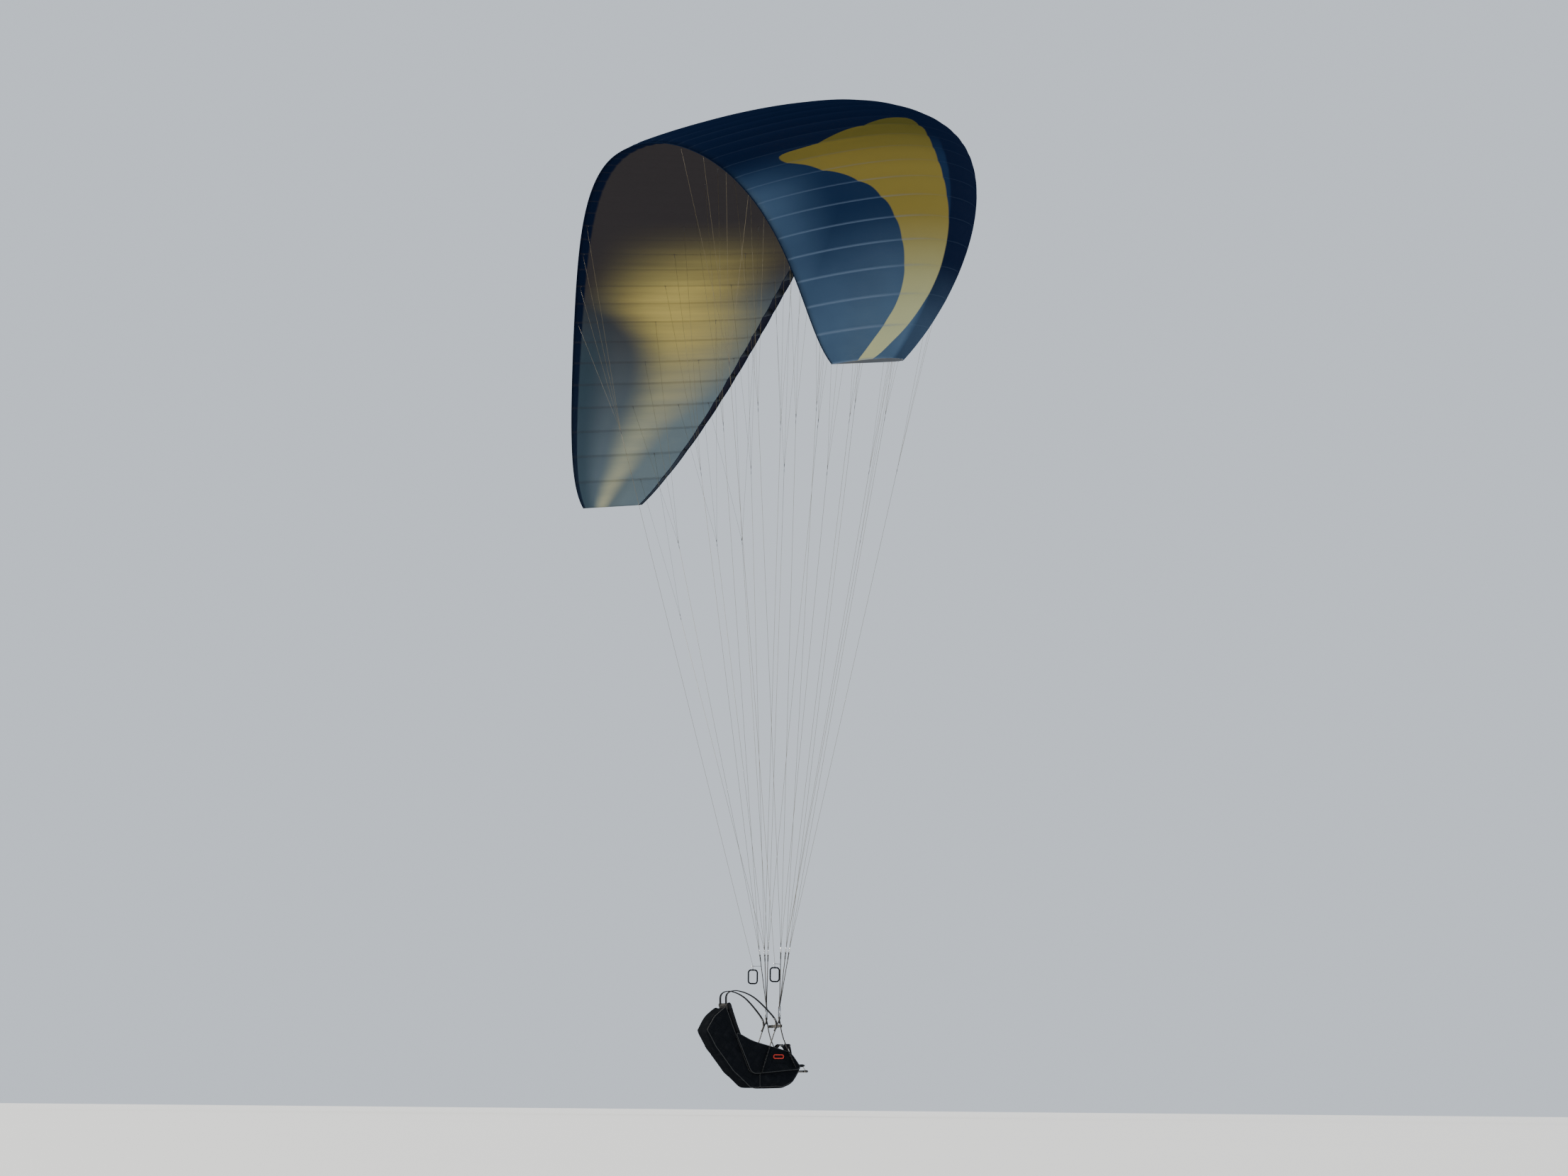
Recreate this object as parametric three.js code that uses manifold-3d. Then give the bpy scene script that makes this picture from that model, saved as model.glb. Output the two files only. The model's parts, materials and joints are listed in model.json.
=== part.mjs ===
// Paraglider: an arched ram-air canopy with its lines, risers and brakes, and the pilot's harness.
// Frame: millimetres, X across the span with the pilot's left at +X, nose toward -Y, +Z up.
// Origin: middle of the canopy, on its lower skin at 30% of the chord.
import * as THREE from "three";
import { mergeVertices } from "three/addons/utils/BufferGeometryUtils.js";
import Module from "manifold-3d";

const wasm = await Module();
wasm.setup();

const degrees = Math.PI / 180;
const fit = 0.3; // running gap between touching pieces

// The arch: half an ellipse seen from the front, the chord tapering and sweeping back to the tips
const arch = { halfWidth: 4494, height: 3168, end: 78.55 * degrees };
const centreChord = 2520;
const taper = { share: 0.947, power: 1.742 };
const sweep = { back: 864, power: 4 };
const pitch = 6.2 * degrees; // nose up
const quarterLine = 0.3; // share of the chord that follows the arch

// The cells: ribs from -cells to +cells
const cells = 21;
const skin = 4;
const rib = 4;
const billow = 14; // how far a skin bulges between two ribs
const section = { thickness: 0.165, tipThickness: 0.13, camber: 0.035, crest: 0.35 };
const mouth = { front: 0.012, back: 0.062, depth: 45 };
const hollowEnd = 0.95; // share of the chord where the two skins meet
const stations = {
  upper: [0, mouth.front, 0.06, 0.16, 0.32, 0.55, 0.78, hollowEnd, 1],
  lower: [0, mouth.front, mouth.back, 0.1, 0.3, 0.6, hollowEnd, 1],
};
const panelEdges = [0, 3, 8, 13, 18, 21]; // rib numbers where the canopy's panels meet

// The brake flap: the rear of the canopy between two ribs, turning on a straight axis
const flap = { inner: 6.4, outer: 14.6, hinge: 0.78, axisDrop: 14, sideGap: 6, overlap: 1.4 };
const flapBlock = { depth: 1200, height: 2400 }; // space cut out for it, past the canopy on all sides

// Lines: rows of attachments, each main line splitting into three upper lines
const rows = [
  { name: "a", chord: 0.1, mains: [[1, 3, 5], [7, 9, 11], [13, 15, 17]] },
  { name: "b", chord: 0.3, mains: [[1, 3, 5], [7, 9, 11], [13, 15, 17], [19, 20]] },
  { name: "c", chord: 0.6, mains: [[1, 3, 5], [7, 9, 11], [13, 15, 17]] },
];
const junction = 0.7; // share of the way up where a main line splits
const brake = { ribs: [7, 9, 11, 13], chord: 0.985, split: 0.76 };
const lineRadius = { main: 1.3, upper: 0.9 };
const knot = { size: 8, spacing: 2.8 };

// Risers and carabiners
const carabiner = { halfSpan: 215, back: 250, drop: 7467, width: 56, height: 96, rod: 5, corner: 10 };
const riser = { length: 500, width: 20, thickness: 3 };
const maillon = { width: 34, height: 46, rod: 2.5, corner: 4.5 };
const pulley = { up: 380, outboard: 46, back: 62, ring: 9, tube: 2.6, tab: 4.6 };
const handle = { width: 92, height: 130, tube: 6.5, corner: 24, below: 26, cordTop: 0.9 };

// Harness, measured from the carabiners: back is rearward, up is above them
const seat = { halfWidth: 190, front: [-240, -402], rear: [190, -450], board: 14 };
const backrest = { top: [432, 130], thickness: 34, narrower: 40 };
const underside = { low: -600, rearLow: -604, narrower: 10, containerEnd: 150, play: 3 };
const strap = { width: 28, thickness: 3.5, forkAt: -180 };
const shoulderBand = { width: 44, thickness: 6 };
const legBand = { width: 40, thickness: 4 };
const sidePanel = 5;
const chest = { level: -70, front: -21, height: 25, thickness: 2.5, past: 22 };
const buckle = { width: 74, depth: 10, height: 40 };
const reservePull = { length: 96, height: 40, tube: 5, corner: 14, level: -330 };
const speedBar = { radius: 9, halfWidth: 165, y: -262, z: -452, cordAt: 130, cordRadius: 2.5, topGap: 2.2 };

const colour = {
  navy: 0x16243c,
  blue: 0x35537a,
  grey: 0x6a7076,
  line: 0x9a8f5c,
  webbing: 0x23262b,
  fabric: 0x17191d,
  metal: 0xb8bcc0,
  red: 0xb02a20,
};
const materials = Object.fromEntries(
  Object.entries(colour).map(([name, color]) => [
    name,
    new THREE.MeshStandardMaterial({
      color,
      roughness: name === "metal" ? 0.35 : 0.75,
      metalness: name === "metal" ? 1 : 0,
    }),
  ]),
);

const paraglider = new THREE.Group();
paraglider.name = "paraglider";

// Adds one named piece to the paraglider.
function addPiece(name, geometry, material) {
  const mesh = new THREE.Mesh(geometry, materials[material]);
  mesh.name = name;
  paraglider.add(mesh);
  return mesh;
}

// A closed geometry as a solid that can be joined or cut.
function solidFrom(geometry) {
  const bare = geometry.index ? geometry.toNonIndexed() : geometry.clone();
  bare.deleteAttribute("normal");
  bare.deleteAttribute("uv");
  const merged = mergeVertices(bare, 1e-3);
  return new wasm.Manifold(
    new wasm.Mesh({
      numProp: 3,
      vertProperties: merged.attributes.position.array,
      triVerts: Uint32Array.from(merged.index.array),
    }),
  );
}

// The geometry of a solid.
function geometryFrom(solid) {
  const { numProp, numVert, vertProperties, triVerts } = solid.getMesh();
  const position = new Float32Array(numVert * 3);
  for (let i = 0; i < numVert; i++) {
    position.set(vertProperties.subarray(i * numProp, i * numProp + 3), i * 3);
  }
  const geometry = new THREE.BufferGeometry();
  geometry.setAttribute("position", new THREE.BufferAttribute(position, 3));
  geometry.setIndex(new THREE.BufferAttribute(Uint32Array.from(triVerts), 1));
  geometry.computeVertexNormals();
  return geometry;
}

const joined = (geometries) =>
  geometries.map(solidFrom).reduce((all, next) => all.add(next));

// Angle on the arch for each share of the half span, measured along the arch
const archSteps = 400;
const archLengths = [0];
for (let i = 1; i <= archSteps; i++) {
  const t = ((i - 0.5) / archSteps) * arch.end;
  const step = Math.hypot(arch.halfWidth * Math.cos(t), arch.height * Math.sin(t));
  archLengths.push(archLengths[i - 1] + (step * arch.end) / archSteps);
}
const halfSpan = archLengths[archSteps];
const cellWidth = halfSpan / cells;

function archAngle(share) {
  const length = Math.min(Math.abs(share), 1) * halfSpan;
  let i = 1;
  while (i < archSteps && archLengths[i] < length) i++;
  const part = (length - archLengths[i - 1]) / (archLengths[i] - archLengths[i - 1]);
  return Math.sign(share) * ((i - 1 + part) / archSteps) * arch.end;
}

const chordAt = (share) =>
  centreChord * Math.sqrt(1 - taper.share * Math.abs(share) ** taper.power);

// Height of the upper (+1) or lower (-1) skin above the chord line, as a share of the chord.
function skinHeight(u, face, share) {
  const { thickness, tipThickness, camber, crest } = section;
  const t = thickness + (tipThickness - thickness) * Math.abs(share);
  const half =
    5 * t * (0.2969 * Math.sqrt(u) - 0.126 * u - 0.3516 * u ** 2 + 0.2843 * u ** 3 - 0.1015 * u ** 4);
  const mean =
    u < crest
      ? (camber / crest ** 2) * (2 * crest * u - u * u)
      : (camber / (1 - crest) ** 2) * (1 - 2 * crest + 2 * crest * u - u * u);
  return mean + face * half;
}

// How far the skins bulge at a place between two ribs, fading out at the nose and the trailing edge.
function bulge(ribNumber, u) {
  const between = Math.sin(Math.PI * ribNumber) ** 2;
  return billow * between * Math.sqrt(Math.sin(Math.PI * Math.min(0.04 + 0.96 * u, 1)));
}

const pitchTurn = new THREE.Matrix4().makeRotationX(-pitch);
const originHeight = skinHeight(quarterLine, -1, 0) * centreChord;

// A point in the canopy's own frame, turned to its attitude in flight.
const inFlight = (x, y, z) =>
  new THREE.Vector3(x, y, z - originHeight).applyMatrix4(pitchTurn);

// A point of the canopy's level frame: rib number, share of the chord, height off the chord line.
function levelPoint(ribNumber, u, height) {
  const share = ribNumber / cells;
  const t = archAngle(share);
  const normal = new THREE.Vector2(
    arch.height * Math.sin(t),
    arch.halfWidth * Math.cos(t),
  ).normalize();
  const y = sweep.back * Math.abs(share) ** sweep.power + (u - quarterLine) * chordAt(share);
  return new THREE.Vector3(
    arch.halfWidth * Math.sin(t) + normal.x * height,
    y,
    arch.height * (Math.cos(t) - 1) + normal.y * height,
  );
}

// A point on the outside of a skin, pushed in by depth.
function skinPoint(ribNumber, u, face, depth = 0) {
  const share = ribNumber / cells;
  const out = skinHeight(u, face, share) * chordAt(share);
  const height = out + face * (bulge(ribNumber, u) - depth);
  const p = levelPoint(ribNumber, u, height);
  return inFlight(p.x, p.y, p.z);
}

// A closed solid through like outlines, each a list of points in the same order.
function loft(outlines, flatOutline) {
  const count = outlines[0].length;
  const points = outlines.flat();
  const cap = THREE.ShapeUtils.triangulateShape(flatOutline, []);
  const last = (outlines.length - 1) * count;
  const index = [];
  for (const [a, b, c] of cap) {
    index.push(a, c, b);
    index.push(last + a, last + b, last + c);
  }
  for (let row = 0; row < outlines.length - 1; row++) {
    for (let i = 0; i < count; i++) {
      const a = row * count + i;
      const b = row * count + ((i + 1) % count);
      index.push(a, b, a + count);
      index.push(b, b + count, a + count);
    }
  }
  const geometry = new THREE.BufferGeometry().setFromPoints(points);
  geometry.setIndex(index);
  return geometry;
}

// The outline of a section as [chord share, face, depth] triples, from the trailing edge
// over the upper skin to the nose and back along the lower skin.
const outerOutline = [
  ...stations.upper.map((u) => [u, 1, 0]).reverse(),
  ...stations.lower.slice(1).map((u) => [u, -1, 0]),
];
const isHollow = (u) => u >= mouth.front && u <= hollowEnd;
const [, mouthFront, mouthBack, ...behindMouth] = stations.lower;
const cellOutline = [
  ...stations.upper.filter(isHollow).map((u) => [u, 1, skin]).reverse(),
  [mouthFront, -1, skin],
  [mouthFront, -1, -mouth.depth],
  [mouthBack, -1, -mouth.depth],
  [mouthBack, -1, skin],
  ...behindMouth.filter(isHollow).map((u) => [u, -1, skin]),
];

const flatten = (outline, ribNumber) =>
  outline.map(([u, face, depth]) => {
    const share = ribNumber / cells;
    return new THREE.Vector2(u * chordAt(share), skinHeight(u, face, share) * chordAt(share) - face * depth);
  });

const sectionLoft = (outline, ribNumbers) =>
  solidFrom(
    loft(
      ribNumbers.map((n) => outline.map(([u, face, depth]) => skinPoint(n, u, face, depth))),
      flatten(outline, ribNumbers[0]),
    ),
  );

// The canopy between two ribs: its skins and ribs, with a mouth under the nose of each cell.
function canopyShell(first, last) {
  const gap = fit / 2 / cellWidth;
  const places = [first + gap];
  for (let n = Math.floor(first * 2 + 1) / 2; n < last; n += 0.5) places.push(n);
  places.push(last - gap);
  let shell = sectionLoft(outerOutline, places);
  const inset = rib / 2 / cellWidth;
  for (let n = Math.floor(first); n < last; n++) {
    if (Math.max(Math.abs(n), Math.abs(n + 1)) > cells - 1) continue; // the tip cells stay solid
    shell = shell.subtract(sectionLoft(cellOutline, [n + inset, n + 0.5, n + 1 - inset]));
  }
  return shell;
}

// The brake flap's axis: straight, just under the lower skin at the flap's two ends.
function flapAxis(side) {
  const [inner, outer] = [flap.inner, flap.outer].map((n) =>
    skinPoint(side * Math.round(n), flap.hinge, -1, -flap.axisDrop),
  );
  return { inner, outer };
}

// The block of space that holds the flap, widened at its ends and its front by the gaps given.
function flapSpace(side, endGap, frontGap) {
  const { inner, outer } = flapAxis(side);
  const along = outer.clone().sub(inner);
  const length = along.length();
  along.normalize();
  const up = new THREE.Vector3(0, 0, 1).applyMatrix4(pitchTurn);
  const back = new THREE.Vector3().crossVectors(up, along).normalize().multiplyScalar(side);
  const above = new THREE.Vector3().crossVectors(along, back).multiplyScalar(side);
  const box = new THREE.BoxGeometry(length + 2 * endGap, flapBlock.depth, flapBlock.height);
  box.translate(0, flapBlock.depth / 2 - frontGap, 0);
  const basis = new THREE.Matrix4().makeBasis(
    along.clone().multiplyScalar(side),
    back,
    above,
  );
  const middle = inner.clone().add(outer).multiplyScalar(0.5);
  box.applyMatrix4(basis.setPosition(middle));
  return solidFrom(box);
}

for (const side of [-1, 1]) {
  const sideName = side > 0 ? "left" : "right";
  const names = ["canopy_inner", "canopy_middle", "canopy_outer", "canopy_tip"];
  const space = flapSpace(side, flap.sideGap, fit);
  names.forEach((name, i) => {
    const edges = [panelEdges[i + 1] * side, panelEdges[i + 2] * side];
    const shell = canopyShell(Math.min(...edges), Math.max(...edges));
    addPiece(`${name}_${sideName}`, geometryFrom(shell.subtract(space)), i === 3 ? "blue" : "navy");
  });
  const edges = [(flap.inner - flap.overlap) * side, (flap.outer + flap.overlap) * side];
  const rear = canopyShell(Math.min(...edges), Math.max(...edges));
  addPiece(`brake_flap_${sideName}`, geometryFrom(rear.intersect(flapSpace(side, 0, 0))), "blue");
}
addPiece("canopy_centre", geometryFrom(canopyShell(-panelEdges[1], panelEdges[1])), "navy");

// A rod from one point to another.
function rod(from, to, radius, sides = 5) {
  const along = new THREE.Vector3().subVectors(to, from);
  const geometry = new THREE.CylinderGeometry(radius, radius, along.length(), sides);
  const turn = new THREE.Quaternion().setFromUnitVectors(
    new THREE.Vector3(0, 1, 0),
    along.clone().normalize(),
  );
  const middle = from.clone().add(to).multiplyScalar(0.5);
  return geometry.applyMatrix4(new THREE.Matrix4().compose(middle, turn, new THREE.Vector3(1, 1, 1)));
}

const meanOf = (points) =>
  points.reduce((sum, p) => sum.add(p), new THREE.Vector3()).divideScalar(points.length);

const stepFrom = (point, direction, distance) =>
  point.clone().addScaledVector(direction, distance);

const directionTo = (from, to) => new THREE.Vector3().subVectors(to, from).normalize();

// A frame with its third axis along a direction and its first axis across the span.
function frameAt(origin, upward) {
  const across = new THREE.Vector3(1, 0, 0).addScaledVector(upward, -upward.x).normalize();
  const back = new THREE.Vector3().crossVectors(upward, across);
  return new THREE.Matrix4().makeBasis(across, back, upward).setPosition(origin);
}

// A closed surface built from rings of points.
class Surface {
  points = [];
  index = [];

  // A square ring of points about a place in a frame, at a height along the frame's third axis.
  ring(frame, offset, height, radius) {
    const first = this.points.length;
    for (let i = 0; i < 4; i++) {
      const angle = (i + 0.5) * (Math.PI / 2);
      const local = new THREE.Vector3(offset + radius * Math.cos(angle), radius * Math.sin(angle), height);
      this.points.push({ local, at: local.clone().applyMatrix4(frame) });
    }
    return [0, 1, 2, 3].map((i) => first + i);
  }

  bridge(low, high) {
    low.forEach((a, i) => {
      const next = (i + 1) % low.length;
      this.index.push(a, low[next], high[i], low[next], high[next], high[i]);
    });
  }

  // A flat face within a ring, round the rings of its holes; facing is +1 upward, -1 downward.
  cover(ring, holes, facing) {
    const all = [ring, ...holes];
    const flat = all.map((each) => each.map((i) => this.points[i].local));
    const order = all.flat();
    for (const triangle of THREE.ShapeUtils.triangulateShape(flat[0], flat.slice(1))) {
      const [a, b, c] = triangle.map((i) => this.points[order[i]].local);
      const turn = (b.x - a.x) * (c.y - a.y) - (b.y - a.y) * (c.x - a.x);
      const corners = triangle.map((i) => order[i]);
      this.index.push(...(turn * facing > 0 ? corners : corners.reverse()));
    }
  }

  geometry() {
    const made = new THREE.BufferGeometry().setFromPoints(this.points.map((p) => p.at));
    made.setIndex(this.index);
    made.computeVertexNormals();
    return made;
  }
}

// Lines that split again and again: each fork is { at, radius, branches }, an end has no branches.
function lineTree(tree, direction) {
  const surface = new Surface();
  const { size, spacing } = knot;

  function grow(fork, along, parentRing) {
    const frame = frameAt(fork.at, along);
    if (!fork.branches) {
      const end = surface.ring(frame, 0, 0, fork.radius);
      surface.bridge(parentRing, end);
      surface.cover(end, [], 1);
      return;
    }
    const bottom = surface.ring(frame, 0, -size / 2, size);
    const top = surface.ring(frame, 0, size / 2, size);
    surface.bridge(bottom, top);
    const entries = parentRing ? [surface.ring(frame, 0, -size / 2, fork.radius)] : [];
    if (parentRing) surface.bridge(parentRing, entries[0]);
    surface.cover(bottom, entries, -1);
    const branches = [...fork.branches].sort((a, b) => a.at.x - b.at.x);
    const exits = branches.map((branch, i) =>
      surface.ring(frame, (i - (branches.length - 1) / 2) * spacing, size / 2, branch.radius),
    );
    surface.cover(top, exits, 1);
    branches.forEach((branch, i) => grow(branch, directionTo(fork.at, branch.at), exits[i]));
  }

  if (tree.branches.length > 1) {
    grow(tree, direction, null);
  } else {
    const foot = surface.ring(frameAt(tree.at, direction), 0, 0, tree.radius);
    surface.cover(foot, [], -1);
    grow(tree.branches[0], direction, foot);
  }
  return surface.geometry();
}

const endsAt = (points) => points.map((at) => ({ at, radius: lineRadius.upper }));

// A rounded rectangular ring of round rod, upright in the XZ plane, centred on the origin.
function link(width, height, radius, corner, sides = 6) {
  const turn = Math.PI / 12;
  const ring = new THREE.TorusGeometry(corner / Math.cos(turn), radius, sides, 12);
  ring.rotateZ(turn);
  const at = ring.attributes.position;
  const [moveX, moveZ] = [width / 2 - corner - radius, height / 2 - corner - radius];
  for (let i = 0; i < at.count; i++) {
    at.setX(i, at.getX(i) + Math.sign(at.getX(i)) * moveX);
    at.setY(i, at.getY(i) + Math.sign(at.getY(i)) * moveZ);
  }
  return ring.rotateX(Math.PI / 2);
}

// A sleeve of webbing round a bar that runs along X.
function eye(barRadius, width, thickness) {
  const inner = barRadius + fit;
  const outer = inner + thickness;
  const ring = new THREE.Shape().absarc(0, 0, outer, 0, 2 * Math.PI);
  ring.holes.push(new THREE.Path().absarc(0, 0, inner / Math.cos(Math.PI / 12), 0, 2 * Math.PI, true));
  const sleeve = new THREE.ExtrudeGeometry(ring, { depth: width, bevelEnabled: false, curveSegments: 6 });
  return sleeve.translate(0, 0, -width / 2).rotateY(Math.PI / 2);
}

// Flat webbing through a list of points, its width turned toward the direction given.
function webbing(points, widthDirection, width, thickness) {
  const path = points.map((p) => new THREE.Vector3(...p));
  const half = [width / 2, thickness / 2];
  const corners = [[-1, -1], [1, -1], [1, 1], [-1, 1]];
  const outlines = path.map((at, i) => {
    const along = directionTo(path[Math.max(i - 1, 0)], path[Math.min(i + 1, path.length - 1)]);
    const normal = new THREE.Vector3().crossVectors(along, widthDirection).normalize();
    const across = new THREE.Vector3().crossVectors(normal, along);
    return corners.map(([a, b]) =>
      at.clone().addScaledVector(across, a * half[0]).addScaledVector(normal, b * half[1]),
    );
  });
  return loft(outlines, corners.map(([a, b]) => new THREE.Vector2(a * half[0], b * half[1])));
}

const acrossX = new THREE.Vector3(1, 0, 0);
const alongY = new THREE.Vector3(0, 1, 0);
const upZ = new THREE.Vector3(0, 0, 1);
const downZ = new THREE.Vector3(0, 0, -1);

// An outline in the YZ plane carried along X, centred on X = 0.
function acrossSpan(outline, width) {
  const geometry = new THREE.ExtrudeGeometry(new THREE.Shape(outline), {
    depth: width,
    bevelEnabled: false,
  });
  geometry.translate(0, 0, -width / 2);
  return geometry.applyMatrix4(
    new THREE.Matrix4().makeBasis(
      new THREE.Vector3(0, 1, 0),
      new THREE.Vector3(0, 0, 1),
      new THREE.Vector3(1, 0, 0),
    ),
  );
}

const carabinerCentre = (side) =>
  new THREE.Vector3(side * carabiner.halfSpan, carabiner.back, -carabiner.drop);
const barOffset = carabiner.height / 2 - carabiner.rod;
const topBar = (side) => stepFrom(carabinerCentre(side), upZ, 2 * barOffset);

const attachment = (n, u) => skinPoint(n, u, -1, -(fit + lineRadius.upper));

// One row of lines on one side: where its riser points, its junctions and its ends on the canopy.
function rowPlan(row, side) {
  const foot = topBar(side);
  const ends = row.mains.map((ribNumbers) => ribNumbers.map((n) => attachment(side * n, row.chord)));
  const junctions = ends.map((points) => foot.clone().lerp(meanOf(points), junction));
  const direction = directionTo(foot, meanOf(junctions.slice(0, 3)));
  const maillonCentre = stepFrom(foot, direction, riser.length);
  return { ends, junctions, direction, maillonCentre };
}

for (const side of [-1, 1]) {
  const sideName = side > 0 ? "left" : "right";
  const foot = topBar(side);
  const ringCentre = stepFrom(carabinerCentre(side), upZ, barOffset);
  const ring = link(carabiner.width, carabiner.height, carabiner.rod, carabiner.corner, 8);
  addPiece(`carabiner_${sideName}`, ring.translate(...ringCentre), "metal");

  const straps = [eye(carabiner.rod, riser.width, riser.thickness * 2).translate(...foot)];
  for (const row of rows) {
    const { ends, junctions, direction, maillonCentre } = rowPlan(row, side);
    const maillonBar = maillon.height / 2 - maillon.rod;
    const strapTop = stepFrom(maillonCentre, direction, -maillonBar);
    const frame = frameAt(strapTop, direction);
    const slant = (riser.width / 2) * Math.abs(direction.x);
    const length = strapTop.distanceTo(foot) - maillon.rod - carabiner.rod - riser.thickness - slant;
    const band = new THREE.BoxGeometry(riser.width, riser.thickness, length)
      .translate(0, 0, -length / 2 - maillon.rod - riser.thickness / 2)
      .applyMatrix4(frame);
    straps.push(band, eye(maillon.rod, riser.width, riser.thickness * 0.8).applyMatrix4(frame));

    const quickLink = link(maillon.width, maillon.height, maillon.rod, maillon.corner).applyMatrix4(
      frameAt(maillonCentre, direction),
    );
    addPiece(`maillon_${row.name}_${sideName}`, quickLink, "metal");

    const bundle = stepFrom(maillonCentre, direction, maillonBar + maillon.rod + fit + knot.size / 2);
    const mains = junctions.map((split, i) => ({
      at: split,
      radius: lineRadius.main,
      branches: endsAt(ends[i]),
    }));
    addPiece(`lines_${row.name}_${sideName}`, lineTree({ at: bundle, branches: mains }, direction), "line");
  }
  addPiece(`riser_${sideName}`, geometryFrom(joined(straps)), "webbing");

  // Brake: the line runs from the trailing edge through the pulley on the rear riser to the handle.
  const rear = rowPlan(rows[2], side);
  const strapPoint = stepFrom(foot, rear.direction, pulley.up);
  const eyeCentre = strapPoint.clone().add(new THREE.Vector3(side * pulley.outboard, pulley.back, 0));
  const holder = directionTo(strapPoint, eyeCentre);
  const pulleyParts = [
    new THREE.TorusGeometry(pulley.ring, pulley.tube, 6, 12).rotateZ(Math.PI / 12).translate(...eyeCentre),
    rod(
      stepFrom(strapPoint, holder, pulley.tab),
      stepFrom(eyeCentre, holder, -pulley.ring),
      pulley.tube,
    ),
  ];
  addPiece(`brake_pulley_${sideName}`, geometryFrom(joined(pulleyParts)), "metal");

  const brakeEnds = brake.ribs.map((n) => attachment(side * n, brake.chord));
  const split = eyeCentre.clone().lerp(meanOf(brakeEnds), brake.split);
  const brakeFork = { at: split, radius: lineRadius.main, branches: endsAt(brakeEnds) };
  const brakeTree = { at: eyeCentre, radius: lineRadius.main, branches: [brakeFork] };
  addPiece(`brake_line_${sideName}`, lineTree(brakeTree, directionTo(eyeCentre, split)), "line");

  const gripTop = stepFrom(eyeCentre, downZ, handle.below);
  const gripCentre = stepFrom(gripTop, downZ, handle.height / 2);
  const grip = link(handle.width, handle.height, handle.tube, handle.corner, 8);
  const gripParts = [
    grip.rotateZ(Math.PI / 2).translate(...gripCentre),
    rod(stepFrom(gripTop, downZ, handle.tube), stepFrom(eyeCentre, downZ, handle.cordTop), lineRadius.main),
  ];
  addPiece(`brake_handle_${sideName}`, geometryFrom(joined(gripParts)), "webbing");
}

// Harness, in a group whose origin is midway between the carabiners
const harness = new THREE.Group();
harness.position.set(0, carabiner.back, -carabiner.drop);
paraglider.add(harness);

function addHarnessPiece(name, geometry, material) {
  const mesh = addPiece(name, geometry, material);
  harness.add(mesh);
}

const toPoints = (pairs) => pairs.map(([y, z]) => new THREE.Vector2(y, z));
const [seatFrontY, seatFrontZ] = seat.front;
const [seatRearY, seatRearZ] = seat.rear;
const [backTopY, backTopZ] = backrest.top;

// Points of a strap or pad that lies in one plane of constant X.
const inPlane = (x, pairs) => pairs.map(([y, z]) => [x, y, z]);

const seatPath = inPlane(0, [seat.front, seat.rear]);
addHarnessPiece("seat_board", webbing(seatPath, acrossX, 2 * seat.halfWidth, seat.board), "fabric");

// The padded back stands on the rear edge of the seat
const backPath = inPlane(0, [
  [seatRearY + 24, seatRearZ + 4],
  [seatRearY + 90, seatRearZ + 160],
  [seatRearY + 180, seatRearZ + 390],
  [backTopY, backTopZ],
]);
const backWidth = 2 * seat.halfWidth - backrest.narrower;
addHarnessPiece("back_pad", webbing(backPath, acrossX, backWidth, backrest.thickness), "fabric");

// Under the seat: the reserve parachute's container in front, the foam and airbag behind it
const underSeat = -seat.board / 2 - fit - underside.play;
const underWidth = 2 * seat.halfWidth - underside.narrower;
const { containerEnd } = underside;
const container = toPoints([
  [seatFrontY + 24, seatFrontZ + underSeat],
  [-140, -545],
  [-50, -592],
  [containerEnd, underside.low],
  [containerEnd, seatRearZ + underSeat],
]);
addHarnessPiece("reserve_container", acrossSpan(container, underWidth), "fabric");
const protector = toPoints([
  [containerEnd + fit, seatRearZ + underSeat],
  [containerEnd + fit, underside.rearLow],
  [230, -606],
  [390, -470],
  [560, -250],
  [636, -96],
  [560, 20],
  [backTopY + 20, backTopZ - 22],
  [seatRearY + 197.8, seatRearZ + 384],
  [seatRearY + 106.8, seatRearZ + 154],
  [seatRearY + 44, seatRearZ + underSeat - underside.play],
]);
addHarnessPiece("protector", acrossSpan(protector, underWidth), "fabric");

const chestLength = 2 * carabiner.halfSpan + chest.past;
const chestBand = new THREE.BoxGeometry(chestLength, chest.thickness, chest.height);
addHarnessPiece("chest_strap", chestBand.translate(0, chest.front, chest.level), "webbing");
const buckleFront = chest.front - (chest.thickness + buckle.depth) / 2 - fit;
const buckleBlock = new THREE.BoxGeometry(buckle.width, buckle.depth, buckle.height);
addHarnessPiece("chest_buckle", buckleBlock.translate(0, buckleFront, chest.level), "metal");

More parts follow.
